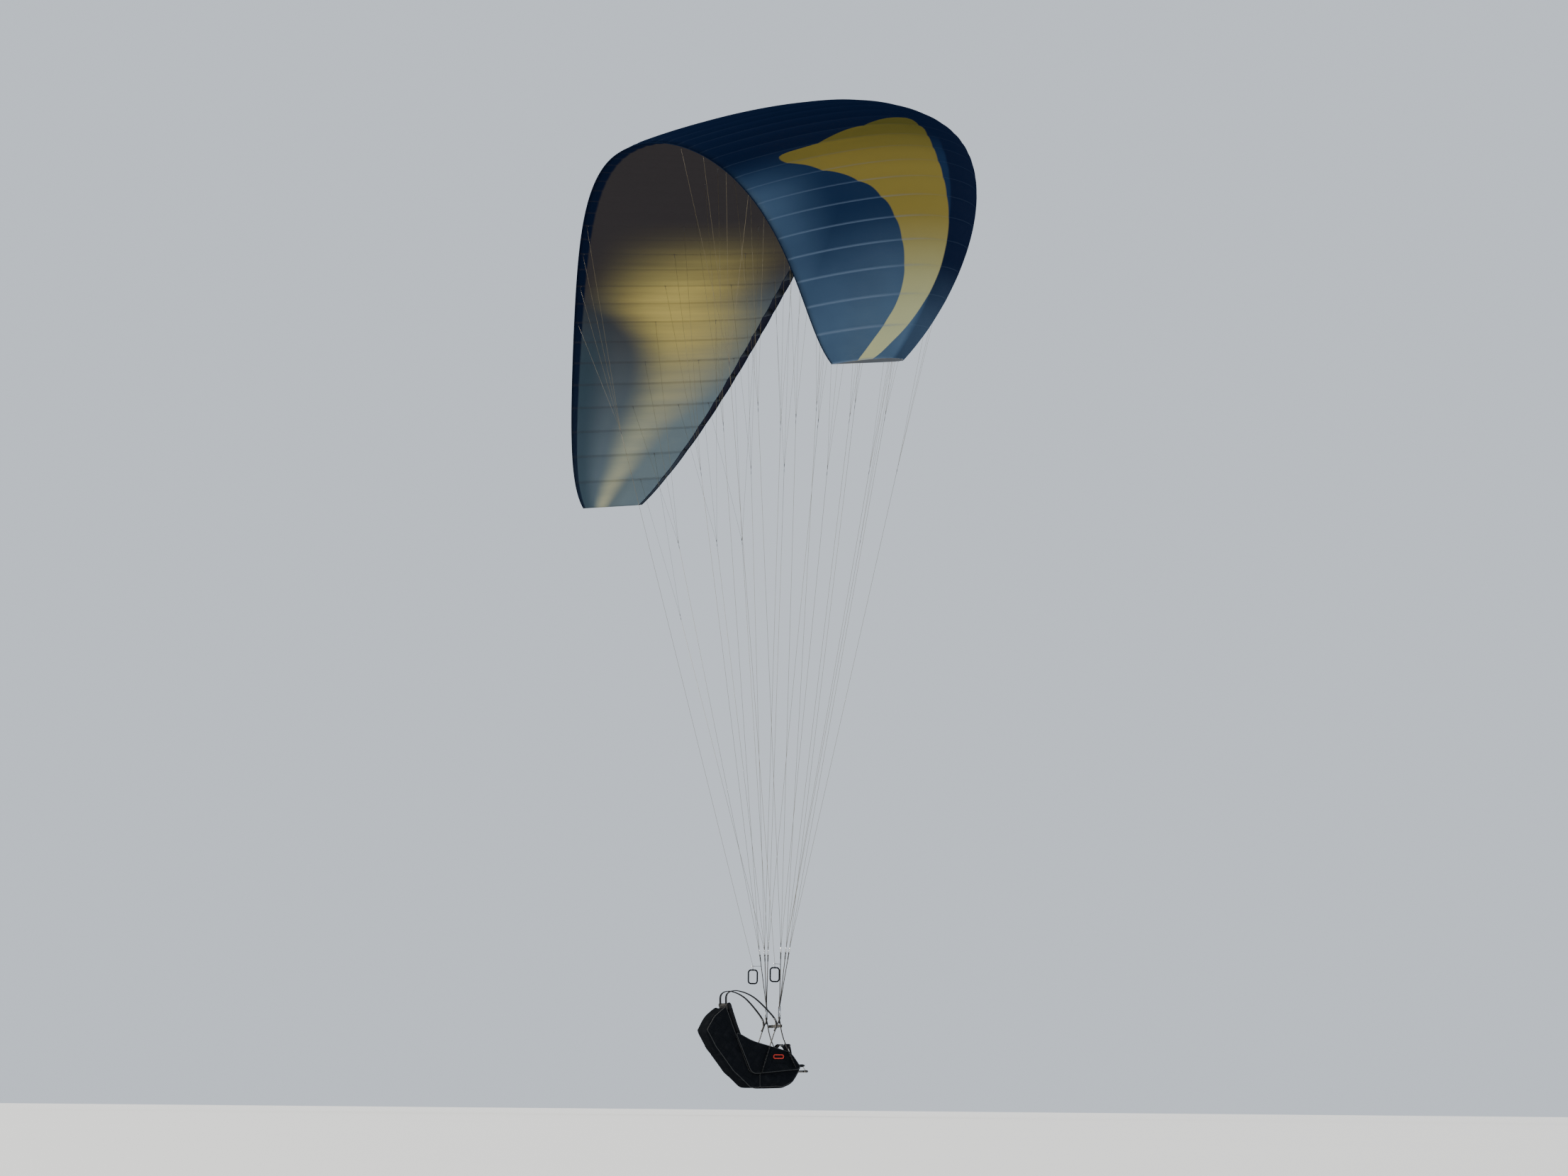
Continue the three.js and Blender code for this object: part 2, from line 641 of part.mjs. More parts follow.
for (const side of [-1, 1]) {
  const sideName = side > 0 ? "left" : "right";
  const at = side * carabiner.halfSpan;

  const panel = toPoints([
    [seatFrontY + 30, seatFrontZ - 30],
    [seatRearY + 40, seatRearZ - 30],
    [seatRearY + 190, seatRearZ + 330],
    [seatRearY + 40, seatRearZ + 250],
    [seatFrontY + 130, seatFrontZ + 110],
  ]);
  const panelOutside = seat.halfWidth + fit + sidePanel;
  const panelPiece = acrossSpan(panel, sidePanel).translate(side * (panelOutside - sidePanel / 2), 0, 0);
  addHarnessPiece(`side_panel_${sideName}`, panelPiece, "fabric");

  // Main webbing: from the carabiner down both edges of the seat
  const outside = side * (panelOutside + fit + strap.width / 2);
  const reach = carabiner.rod + strap.thickness - 1;
  const frontBranch = [[0, -reach], [-40, strap.forkAt], [seatFrontY + 90, seatFrontZ - 20]];
  const rearBranch = [[0, -reach], [60, strap.forkAt], [seatRearY - 40, seatRearZ - 20]];
  const main = [
    eye(carabiner.rod, strap.width, strap.thickness).translate(at, 0, 0),
    webbing(inPlane(outside, frontBranch), acrossX, strap.width, strap.thickness),
    webbing(inPlane(outside, rearBranch), acrossX, strap.width, strap.thickness),
  ];
  addHarnessPiece(`main_strap_${sideName}`, geometryFrom(joined(main)), "webbing");

  // Shoulder strap: from behind the main webbing up over the shoulder to the top of the back
  const shoulder = [
    [outside, 41.8, -112],
    [outside, 23.8, -58],
    [side * 196, 60, 20],
    [side * 150, 210, 170],
    [side * 112, 350, 226],
    [side * 100, 432, 196],
    [side * 98, backTopY + 4, backTopZ + 6],
  ];
  const shoulderPiece = webbing(shoulder, acrossX, shoulderBand.width, shoulderBand.thickness);
  addHarnessPiece(`shoulder_strap_${sideName}`, shoulderPiece, "webbing");

  // Leg strap: an arch over the thigh from the side panel to the middle of the seat
  const leg = [
    [side * 186, -60, -330],
    [side * 178, -70, -262],
    [side * 112, -96, -222],
    [side * 46, -132, -270],
    [side * 22, -160, -401.2],
  ];
  const legPiece = webbing(leg, alongY, legBand.width, legBand.thickness);
  addHarnessPiece(`leg_strap_${sideName}`, legPiece, "webbing");
}

const { length: pullLength, height: pullHeight, tube: pullTube, corner: pullCorner } = reservePull;
const pull = link(pullLength, pullHeight, pullTube, pullCorner).rotateZ(Math.PI / 2);
const pullAt = -(seat.halfWidth + fit + sidePanel + fit + pullTube);
addHarnessPiece("reserve_handle", pull.translate(pullAt, 0, reservePull.level), "red");

// Speed bar, stowed close under the front of the seat
const onBar = (x) => new THREE.Vector3(x, speedBar.y, speedBar.z);
const barEnds = [-1, 1].map((side) => onBar(side * speedBar.halfWidth));
const barParts = [rod(...barEnds, speedBar.radius, 10)];
const seatUnderside = seatFrontZ - seat.board / 2 - fit;
for (const side of [-1, 1]) {
  const cordX = side * speedBar.cordAt;
  const top = new THREE.Vector3(cordX, seatFrontY + 6, seatUnderside - speedBar.topGap);
  barParts.push(rod(onBar(cordX), top, speedBar.cordRadius));
}
addHarnessPiece("speed_bar", geometryFrom(joined(barParts)), "grey");

export default paraglider;
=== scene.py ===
# Paraglider: an arched canopy of open cells, its lines, risers and brakes, and a seated harness.
# Frame: metres, its left side at +X, nose toward -Y, +Z up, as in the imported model.
import bisect
import json
import math

import bmesh
import bpy
from mathutils import Matrix, Vector


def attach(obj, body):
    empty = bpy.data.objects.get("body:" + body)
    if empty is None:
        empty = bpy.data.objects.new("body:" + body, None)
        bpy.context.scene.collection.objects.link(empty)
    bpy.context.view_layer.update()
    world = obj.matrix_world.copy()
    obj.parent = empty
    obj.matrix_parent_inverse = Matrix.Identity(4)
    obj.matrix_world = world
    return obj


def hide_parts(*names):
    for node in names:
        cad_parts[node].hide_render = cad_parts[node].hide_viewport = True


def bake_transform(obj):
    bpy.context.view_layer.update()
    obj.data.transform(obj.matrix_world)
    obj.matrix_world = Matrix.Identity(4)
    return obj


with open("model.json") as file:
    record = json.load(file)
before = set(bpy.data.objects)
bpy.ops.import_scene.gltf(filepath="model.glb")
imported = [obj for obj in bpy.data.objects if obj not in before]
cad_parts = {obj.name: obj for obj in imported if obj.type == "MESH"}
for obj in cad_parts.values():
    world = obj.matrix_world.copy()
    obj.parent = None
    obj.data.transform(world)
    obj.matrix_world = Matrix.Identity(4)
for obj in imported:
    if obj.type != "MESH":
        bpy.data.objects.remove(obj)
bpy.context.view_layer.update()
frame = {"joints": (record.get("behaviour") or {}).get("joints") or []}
sideSigns = {"left": 1, "right": -1}
acrossX = Vector((1, 0, 0))
alongY = Vector((0, 1, 0))
upZ = Vector((0, 0, 1))

# Camera: the photograph's place and direction, at floor level, with a longer lens
camera = {
    "position": (-37.26, 10.18, -8.24),
    "level": (0.9732, -0.2301, 0.0),  # where the photograph's camera points, held level
    "aimRight": 0.0299,
    "aimUp": 0.1162,
    "lean": -0.009,
    "lens": 103,
}


def addCamera():
    level = Vector(camera["level"])
    right = level.cross(upZ)
    aim = (level + camera["aimRight"] * right + camera["aimUp"] * upZ).normalized()
    across = aim.cross(upZ + camera["lean"] * right).normalized()
    turn = Matrix((across, across.cross(aim), -aim)).transposed().to_4x4()
    lens = bpy.data.cameras.new("camera")
    lens.lens = camera["lens"]
    lens.clip_end = 500
    holder = bpy.data.objects.new("camera", lens)
    holder.matrix_world = Matrix.Translation(camera["position"]) @ turn
    bpy.context.collection.objects.link(holder)
    bpy.context.scene.camera = holder


addCamera()
print("camera placed")


# Shader maths written as Python: an expression on wires adds its Math nodes
def operator(kind, turned=False):
    return lambda self, other: self.math(kind, other, self) if turned else self.math(kind, self, other)


class Wire:
    __add__, __radd__ = operator("ADD"), operator("ADD", True)
    __sub__, __rsub__ = operator("SUBTRACT"), operator("SUBTRACT", True)
    __mul__, __rmul__ = operator("MULTIPLY"), operator("MULTIPLY", True)
    __truediv__, __rtruediv__ = operator("DIVIDE"), operator("DIVIDE", True)
    __pow__ = operator("POWER")

    def __init__(self, socket):
        self.socket = socket

    def math(self, operation, *values):
        node = self.socket.id_data.nodes.new("ShaderNodeMath")
        node.operation = operation
        for place, value in zip(node.inputs, values):
            feed(place, value)
        return Wire(node.outputs[0])

    def atLeast(self, low):
        return self.math("MAXIMUM", self, low)

    def atMost(self, high):
        return self.math("MINIMUM", self, high)

    def size(self):  # without its sign
        return self.math("ABSOLUTE", self)

    def wave(self):  # -1 to 1, once for each whole number
        return self.math("SINE", self * (2 * math.pi))

    def offWhole(self):  # distance to the nearest whole number
        return (self - self.math("ROUND", self)).size()


def feed(place, value):
    if isinstance(value, Wire):
        place.id_data.links.new(value.socket, place)
    else:
        place.default_value = value


class Finish:
    def __init__(self, name, **surface):
        self.material = bpy.data.materials.new(name)
        self.material.use_nodes = True
        self.tree = self.material.node_tree
        self.surface = self.tree.nodes["Principled BSDF"]
        for socket, value in surface.items():
            feed(self.surface.inputs[socket.replace("_", " ")], value)

    def addAll(self, kind, settings=None, values=None):  # a node's outputs as wires
        node = self.tree.nodes.new(kind)
        for key, value in (settings or {}).items():
            if key == "curve":
                self.setCurve(node.mapping, value)
            else:
                setattr(node, key, value)
        for key, value in (values or {}).items():
            feed(node.inputs[key], value)
        return [Wire(socket) for socket in node.outputs]

    def add(self, kind, settings=None, values=None, output=0):
        return self.addAll(kind, settings, values)[output]

    def setCurve(self, mapping, points):
        curve = mapping.curves[0]
        while len(curve.points) < len(points):
            curve.points.new(0.5, 0.5)
        for point, place in zip(curve.points, sorted(points)):
            point.location = place
            point.handle_type = "AUTO"
        mapping.update()

    def curve(self, points, value):
        return self.add("ShaderNodeFloatCurve", {"curve": points}, {"Value": value})

    def step(self, value, start, end):  # 0 before start, 1 after end, smooth between
        limits = {"Value": value, "From Min": start, "From Max": end}
        return self.add("ShaderNodeMapRange", {"interpolation_type": "SMOOTHSTEP"}, limits)

    def mixed(self, share, first, second):
        values = {0: share, 6: first, 7: second}
        return self.add("ShaderNodeMix", {"data_type": "RGBA"}, values, output=2)

    def noise(self, scale, detail=2, where=None):
        values = {"Scale": scale, "Detail": detail}
        if where is not None:
            values["Vector"] = where
        return self.add("ShaderNodeTexNoise", None, values)

    def objectPlace(self):
        return self.add("ShaderNodeTexCoord", None, None, output=3)

    def mapAxes(self, name):  # the two axes of a UV map
        place = self.add("ShaderNodeUVMap", {"uv_map": name})
        return self.splitAxes(place)[:2]

    def splitAxes(self, place):
        return self.addAll("ShaderNodeSeparateXYZ", None, {0: place})

    def joinAxes(self, x, y, z=0.0):
        return self.add("ShaderNodeCombineXYZ", None, {0: x, 1: y, 2: z})

    def bump(self, height, strength, distance):
        relief = {"Height": height, "Strength": strength, "Distance": distance}
        feed(self.surface.inputs["Normal"], self.add("ShaderNodeBump", None, relief))

    def set(self, socket, value):
        feed(self.surface.inputs[socket], value)

    def glow(self, share, color, *layers):
        # lets light through a thin cloth; each layer is its share and its colour
        through = self.add("ShaderNodeBsdfTranslucent", None, {"Color": color})
        for part, tint in layers:
            over = self.add("ShaderNodeBsdfTranslucent", None, {"Color": tint})
            through = self.add("ShaderNodeMixShader", None, {0: part, 1: through, 2: over})
        both = self.add("ShaderNodeMixShader", None, {0: share, 1: Wire(self.surface.outputs[0]), 2: through})
        feed(self.tree.nodes["Material Output"].inputs["Surface"], both)


# The wing's shape, with the driving sizes of the frame's canopy
wing = {
    "halfWidth": 4.494,
    "archHeight": 3.168,
    "archEnd": math.radians(78.55),
    "centreChord": 2.520,
    "taper": 0.947,
    "taperPower": 1.742,
    "sweepBack": 0.864,
    "sweepPower": 4,
    "pitch": math.radians(6.2),
    "carryLine": 0.3,
    "cells": 21,
    "thickness": 0.165,
    "tipThickness": 0.13,
    "section": (0.2969, -0.126, -0.3516, 0.2843, -0.1015),  # its half thickness: root and powers of u
    "camber": 0.035,
    "crest": 0.35,
    "billow": 0.020,
    "mouthFront": 0.012,
    "mouthBack": 0.062,
}
archSteps = 400
archLengths = [0.0]
for step in range(archSteps):
    angle = (step + 0.5) / archSteps * wing["archEnd"]
    pace = math.hypot(wing["halfWidth"] * math.cos(angle), wing["archHeight"] * math.sin(angle))
    archLengths.append(archLengths[-1] + pace * wing["archEnd"] / archSteps)
halfSpan = archLengths[-1]
cellWidth = halfSpan / wing["cells"]


def archAngle(share):  # angle on the arch at a share of the half span, measured along it
    length = min(abs(share), 1) * halfSpan
    i = min(max(bisect.bisect_left(archLengths, length), 1), archSteps)
    part = (length - archLengths[i - 1]) / (archLengths[i] - archLengths[i - 1])
    return math.copysign((i - 1 + part) / archSteps * wing["archEnd"], share)


def chordAt(share):
    return wing["centreChord"] * math.sqrt(1 - wing["taper"] * abs(share) ** wing["taperPower"])


def skinHeight(u, face, share):  # upper skin +1, lower skin -1, as a share of the chord
    t = wing["thickness"] + (wing["tipThickness"] - wing["thickness"]) * abs(share)
    root, one, two, three, four = wing["section"]
    thick = root * math.sqrt(u) + one * u + two * u**2 + three * u**3 + four * u**4
    crest = wing["crest"]
    if u < crest:
        camber = wing["camber"] / crest**2 * (2 * crest * u - u * u)
    else:
        camber = wing["camber"] / (1 - crest) ** 2 * (1 - 2 * crest + 2 * crest * u - u * u)
    return camber + face * 5 * t * thick


originHeight = skinHeight(wing["carryLine"], -1, 0) * wing["centreChord"]
flightTurn = Matrix.Rotation(-wing["pitch"], 3, "X")


def skinPoint(rib, u, face, outward=0.0):
    share = rib / wing["cells"]
    t = archAngle(share)
    chord = chordAt(share)
    between = abs(math.sin(math.pi * rib)) ** 0.8
    fade = math.sqrt(max(math.sin(math.pi * min(0.04 + 0.96 * u, 1)), 0))
    height = skinHeight(u, face, share) * chord + face * (wing["billow"] * between * fade + outward)
    normal = Vector((wing["archHeight"] * math.sin(t), wing["halfWidth"] * math.cos(t))).normalized()
    x = wing["halfWidth"] * math.sin(t) + normal.x * height
    y = wing["sweepBack"] * abs(share) ** wing["sweepPower"] + (u - wing["carryLine"]) * chord
    z = wing["archHeight"] * (math.cos(t) - 1) + normal.y * height
    return flightTurn @ Vector((x, y, z - originHeight))


# A way round the section: under the nose, over the top to the trailing edge, back along the bottom
aroundSteps = 92
aroundNose = 3 / aroundSteps
aroundTail = 52 / aroundSteps
noseCrowding = 1.8


def aroundSection(path):  # chord share and face at a place from 0 to 1 on the way round
    if path < aroundNose:
        return wing["mouthFront"] * (1 - path / aroundNose), -1
    if path < aroundTail:
        return ((path - aroundNose) / (aroundTail - aroundNose)) ** noseCrowding, 1
    return 1 - (1 - wing["mouthBack"]) * (path - aroundTail) / (1 - aroundTail), -1


# Shapes
def finishShape(shape, name, finish, merge=0.0):
    if merge:
        bmesh.ops.remove_doubles(shape, verts=shape.verts, dist=merge)
        bmesh.ops.recalc_face_normals(shape, faces=shape.faces)
    mesh = bpy.data.meshes.new(name)
    shape.to_mesh(mesh)
    shape.free()
    mesh.materials.append(finish.material)
    mesh.shade_smooth()
    piece = bpy.data.objects.new(name, mesh)
    bpy.context.collection.objects.link(piece)
    return piece


def addPiece(shape, name, finish, body=None, nodes=(), thickness=None, merge=0.0):
    # a finished piece: its material, slot, the solids that it stands for and the body that it rides on
    piece = finishShape(shape, name, finishes[finish], merge)
    if thickness:  # walls for what was drawn as a flat band
        wall = piece.modifiers.new("thickness", "SOLIDIFY")
        wall.thickness = thickness
        wall.offset = 0
    if nodes:
        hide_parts(*nodes)
    if body:
        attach(piece, body)
    return piece


def addSheet(shape, columns, rows, place, mapName="cloth", mapSize=(1, 1)):
    # a grid of faces, each corner put where place(across, along) says, both from 0 to 1
    uvLayer = shape.loops.layers.uv.get(mapName) or shape.loops.layers.uv.new(mapName)
    made = bmesh.ops.create_grid(shape, x_segments=columns, y_segments=rows, size=0.5)
    corners = made["verts"]
    for face in {f for v in corners for f in v.link_faces}:
        for loop in face.loops:
            at = loop.vert.co
            loop[uvLayer].uv = ((at.x + 0.5) * mapSize[0], (at.y + 0.5) * mapSize[1])
    for v in corners:
        v.co = place(round((v.co.x + 0.5) * columns) / columns, round((v.co.y + 0.5) * rows) / rows)
    return corners


def smoothPath(points, steps):  # a curve through the points, with steps to each stretch
    knots = [Vector(p) for p in points]
    knots = [2 * knots[0] - knots[1], *knots, 2 * knots[-1] - knots[-2]]
    path = []
    for a, b, c, d in zip(knots, knots[1:], knots[2:], knots[3:]):
        for i in range(steps):
            t = i / steps
            path.append(0.5 * (2 * b + (c - a) * t + (2 * a - 5 * b + 4 * c - d) * t**2
                               + (3 * b - a - 3 * c + d) * t**3))
    return [*path, knots[-2]]


def pathLength(points):
    return sum((b - a).length for a, b in zip(points, points[1:]))


def onPath(points, share, closed=False):  # place and direction at a share of the way
    count = len(points) if closed else len(points) - 1
    at = share * count
    i = min(int(at), count - 1)
    a, b = points[i], points[(i + 1) % len(points)]
    before = points[i - 1] if closed or i > 0 else a
    after = points[(i + 2) % len(points)] if closed or i + 2 < len(points) else b
    part = at - i
    along = (b - before).lerp(after - a, part)
    return a.lerp(b, part), along.normalized()


def addTube(shape, points, radius, sides=8, closed=False, side=None):
    # a round cord through the points; radius is one number or a function of the share of the way
    points = [Vector(p) for p in points]
    first = (points[1] - points[0]).normalized()
    side = Vector(side) if side else (upZ if abs(first.z) < 0.8 else acrossX)
    size = radius if callable(radius) else lambda share: radius

    def place(around, along):
        at, direction = onPath(points, along, closed)
        out = direction.cross(side).normalized()
        up = direction.cross(out)  # this way round, the faces point outwards
        turn = 2 * math.pi * around
        return at + size(along) * (math.cos(turn) * out + math.sin(turn) * up)

    rows = len(points) if closed else len(points) - 1
    corners = addSheet(shape, sides, rows, place, mapSize=(1, pathLength(points)))
    bmesh.ops.remove_doubles(shape, verts=corners, dist=1e-6)
    if not closed:
        rims = {e for v in corners if v.is_valid for e in v.link_edges if e.is_boundary}
        bmesh.ops.holes_fill(shape, edges=list(rims), sides=sides)
    return [v for v in corners if v.is_valid]


def addTaperedBead(shape, at, direction, length, radius, sides=8):  # a sewn or whipped bulge on a line
    turn = Vector(direction).to_track_quat("Z", "Y").to_matrix().to_4x4()
    size = Matrix.Diagonal((radius, radius, length / 2, 1))
    bmesh.ops.create_uvsphere(
        shape, u_segments=sides, v_segments=6, radius=1, matrix=Matrix.Translation(at) @ turn @ size
    )


def addBlock(shape, at, size, turn=None, bevel=0.0):
    frameOf = Matrix.Translation(at) @ (turn or Matrix()).to_4x4() @ Matrix.Diagonal((*size, 1))
    made = bmesh.ops.create_cube(shape, size=1, matrix=frameOf)
    if bevel:
        edges = list({e for v in made["verts"] for e in v.link_edges})
        bmesh.ops.bevel(shape, geom=edges, offset=bevel, segments=2, profile=0.5, affect="EDGES", material=-1)


def addBand(shape, points, across, width, columns=4):
    # flat webbing through the points, as one sheet; its thickness comes from a modifier
    points = [Vector(p) for p in points]
    across = Vector(across)

    def place(side, along):
        at, direction = onPath(points, along)
        normal = direction.cross(across).normalized()
        return at + normal.cross(direction) * (side - 0.5) * width

    addSheet(shape, columns, len(points) - 1, place, mapSize=(width, pathLength(points)))


def circle(radius, count):  # points round a circle, in its own plane
    turns = [2 * math.pi * i / count for i in range(count)]
    return [(radius * math.cos(turn), radius * math.sin(turn)) for turn in turns]


def roundedLoop(width, height, corner, steps=6):  # the centreline of a rounded ring, in its own plane
    path = []
    for quarter in range(4):
        signX, signY = [(1, 1), (-1, 1), (-1, -1), (1, -1)][quarter]
        for i in range(steps + 1):
            turn = (quarter + i / steps) * math.pi / 2
            x = signX * (width / 2 - corner) + corner * math.cos(turn)
            y = signY * (height / 2 - corner) + corner * math.sin(turn)
            path.append((x, y))
    return path


# Finishes of the canopy
cloth = {
    "navy": (0.006, 0.0135, 0.041, 1),
    "blue": (0.014, 0.036, 0.088, 1),
    "highlightBlue": (0.095, 0.165, 0.265, 1),
    "olive": (0.110, 0.100, 0.022, 1),
    "yellow": (0.29, 0.220, 0.050, 1),
    "highlightYellow": (0.60, 0.61, 0.34, 1),
    "seam": (0.22, 0.30, 0.42, 1),
    "lowerInShade": (0.060, 0.054, 0.058, 1),
    "lowerLit": (0.20, 0.275, 0.33, 1),
    "lowerTailShade": (0.035, 0.075, 0.11, 1),
    "lowerGlowGold": (0.72, 0.61, 0.20, 1),
    "lowerGlowCream": (0.60, 0.62, 0.45, 1),
    "throughDark": (0.022, 0.022, 0.034, 1),  # the light that comes through
    "throughPale": (0.21, 0.26, 0.29, 1),
    "throughGold": (0.70, 0.54, 0.16, 1),
    "ripstop": 0.006,  # spacing of the strong threads
    "seamWidth": 0.005,
    "tapeWidth": 0.014,
    "noseBand": 0.13,
    # the yellow crescent: chord share of its front and rear edge along the half span
    "crescentFront": [
        (0.0, 1.0), (0.43, 1.0), (0.443, 0.26), (0.456, 0.20), (0.49, 0.18), (0.56, 0.178), (0.62, 0.174),
        (0.705, 0.156), (0.78, 0.135), (0.83, 0.128), (0.88, 0.13), (0.92, 0.155), (0.95, 0.20), (0.98, 0.30),
        (1.0, 0.46),
    ],
    "crescentRear": [
        (0.0, 0.0), (0.436, 0.1), (0.450, 0.26), (0.469, 0.37), (0.490, 0.46), (0.510, 0.55), (0.533, 0.67),
        (0.553, 0.80), (0.575, 0.775), (0.600, 0.72), (0.638, 0.625), (0.669, 0.545), (0.710, 0.475),
        (0.750, 0.43), (0.80, 0.39), (0.843, 0.365), (0.883, 0.350), (0.915, 0.36), (0.945, 0.41),
        (0.971, 0.49), (1.0, 0.66),
    ],
    # the golden patch where light comes through the lower skin, along the half span: its middle,
    # how far it reaches toward the nose and the tail, and its strength
    "patchMiddle": [
        (0.0, 0.46), (0.42, 0.47), (0.50, 0.52), (0.56, 0.56), (0.62, 0.525), (0.67, 0.47), (0.73, 0.435),
        (0.79, 0.435), (0.86, 0.50), (0.92, 0.55), (1.0, 0.70),
    ],
    "patchNose": [
        (0.0, 0.46), (0.56, 0.50), (0.62, 0.56), (0.67, 0.54), (0.73, 0.50), (0.79, 0.40), (0.86, 0.27),
        (0.92, 0.22), (1.0, 0.16),
    ],
    "patchTail": [
        (0.0, 0.46), (0.56, 0.42), (0.62, 0.32), (0.67, 0.27), (0.79, 0.25), (0.86, 0.24), (0.92, 0.20),
        (1.0, 0.15),
    ],
    "patchStrength": [
        (0.0, 0.0), (0.30, 0.0), (0.37, 0.08), (0.42, 0.26), (0.50, 0.58), (0.56, 0.80), (0.62, 0.80),
        (0.67, 0.72), (0.73, 0.58), (0.79, 0.54), (0.86, 0.62), (0.92, 0.70), (1.0, 0.85),
    ],
}


fades = {  # where each change of the canopy's colours starts and ends
    # along the half span
    "blueOutward": (0.50, 0.62),
    "tailHighlightFade": (0.54, 0.68),
    "tipHighlightFade": (0.72, 0.97),
    "noseBandHighlightFade": (0.84, 0.96),
    "oliveToYellow": (0.46, 0.66),
    "yellowToHighlight": (0.74, 1.0),
    "lowerLightOutward": (0.50, 1.0),
    "lowerNoseOutward": (0.44, 0.62),
    "shadeOutward": (0.50, 0.75),
    "glowGoldToCream": (0.64, 0.90),
    "seamHighlightFade": (0.48, 0.92),
    # along the chord
    "tail": (0.66, 0.98),
    "behindBand": (0.13, 0.2),
    "lowerNose": (0.15, 0.60),
    "lowerTailShade": (0.74, 0.93),
    "lowerHem": (0.955, 0.965),
    "crescentEdge": (-0.004, 0.004),
}


def wingPattern(finish):  # places on the wing as wires, for the skins' cloth
    share, path = finish.mapAxes("wing")
    upper = ((path - aroundNose) / (aroundTail - aroundNose)).atLeast(0) ** noseCrowding
    lower = 1 - (1 - wing["mouthBack"]) * ((path - aroundTail) / (1 - aroundTail))
    isLower = finish.step(path, aroundTail, aroundTail + 0.001)
    chord = upper.atMost(1) * (1 - isLower) + lower * isLower
    return share, chord, isLower


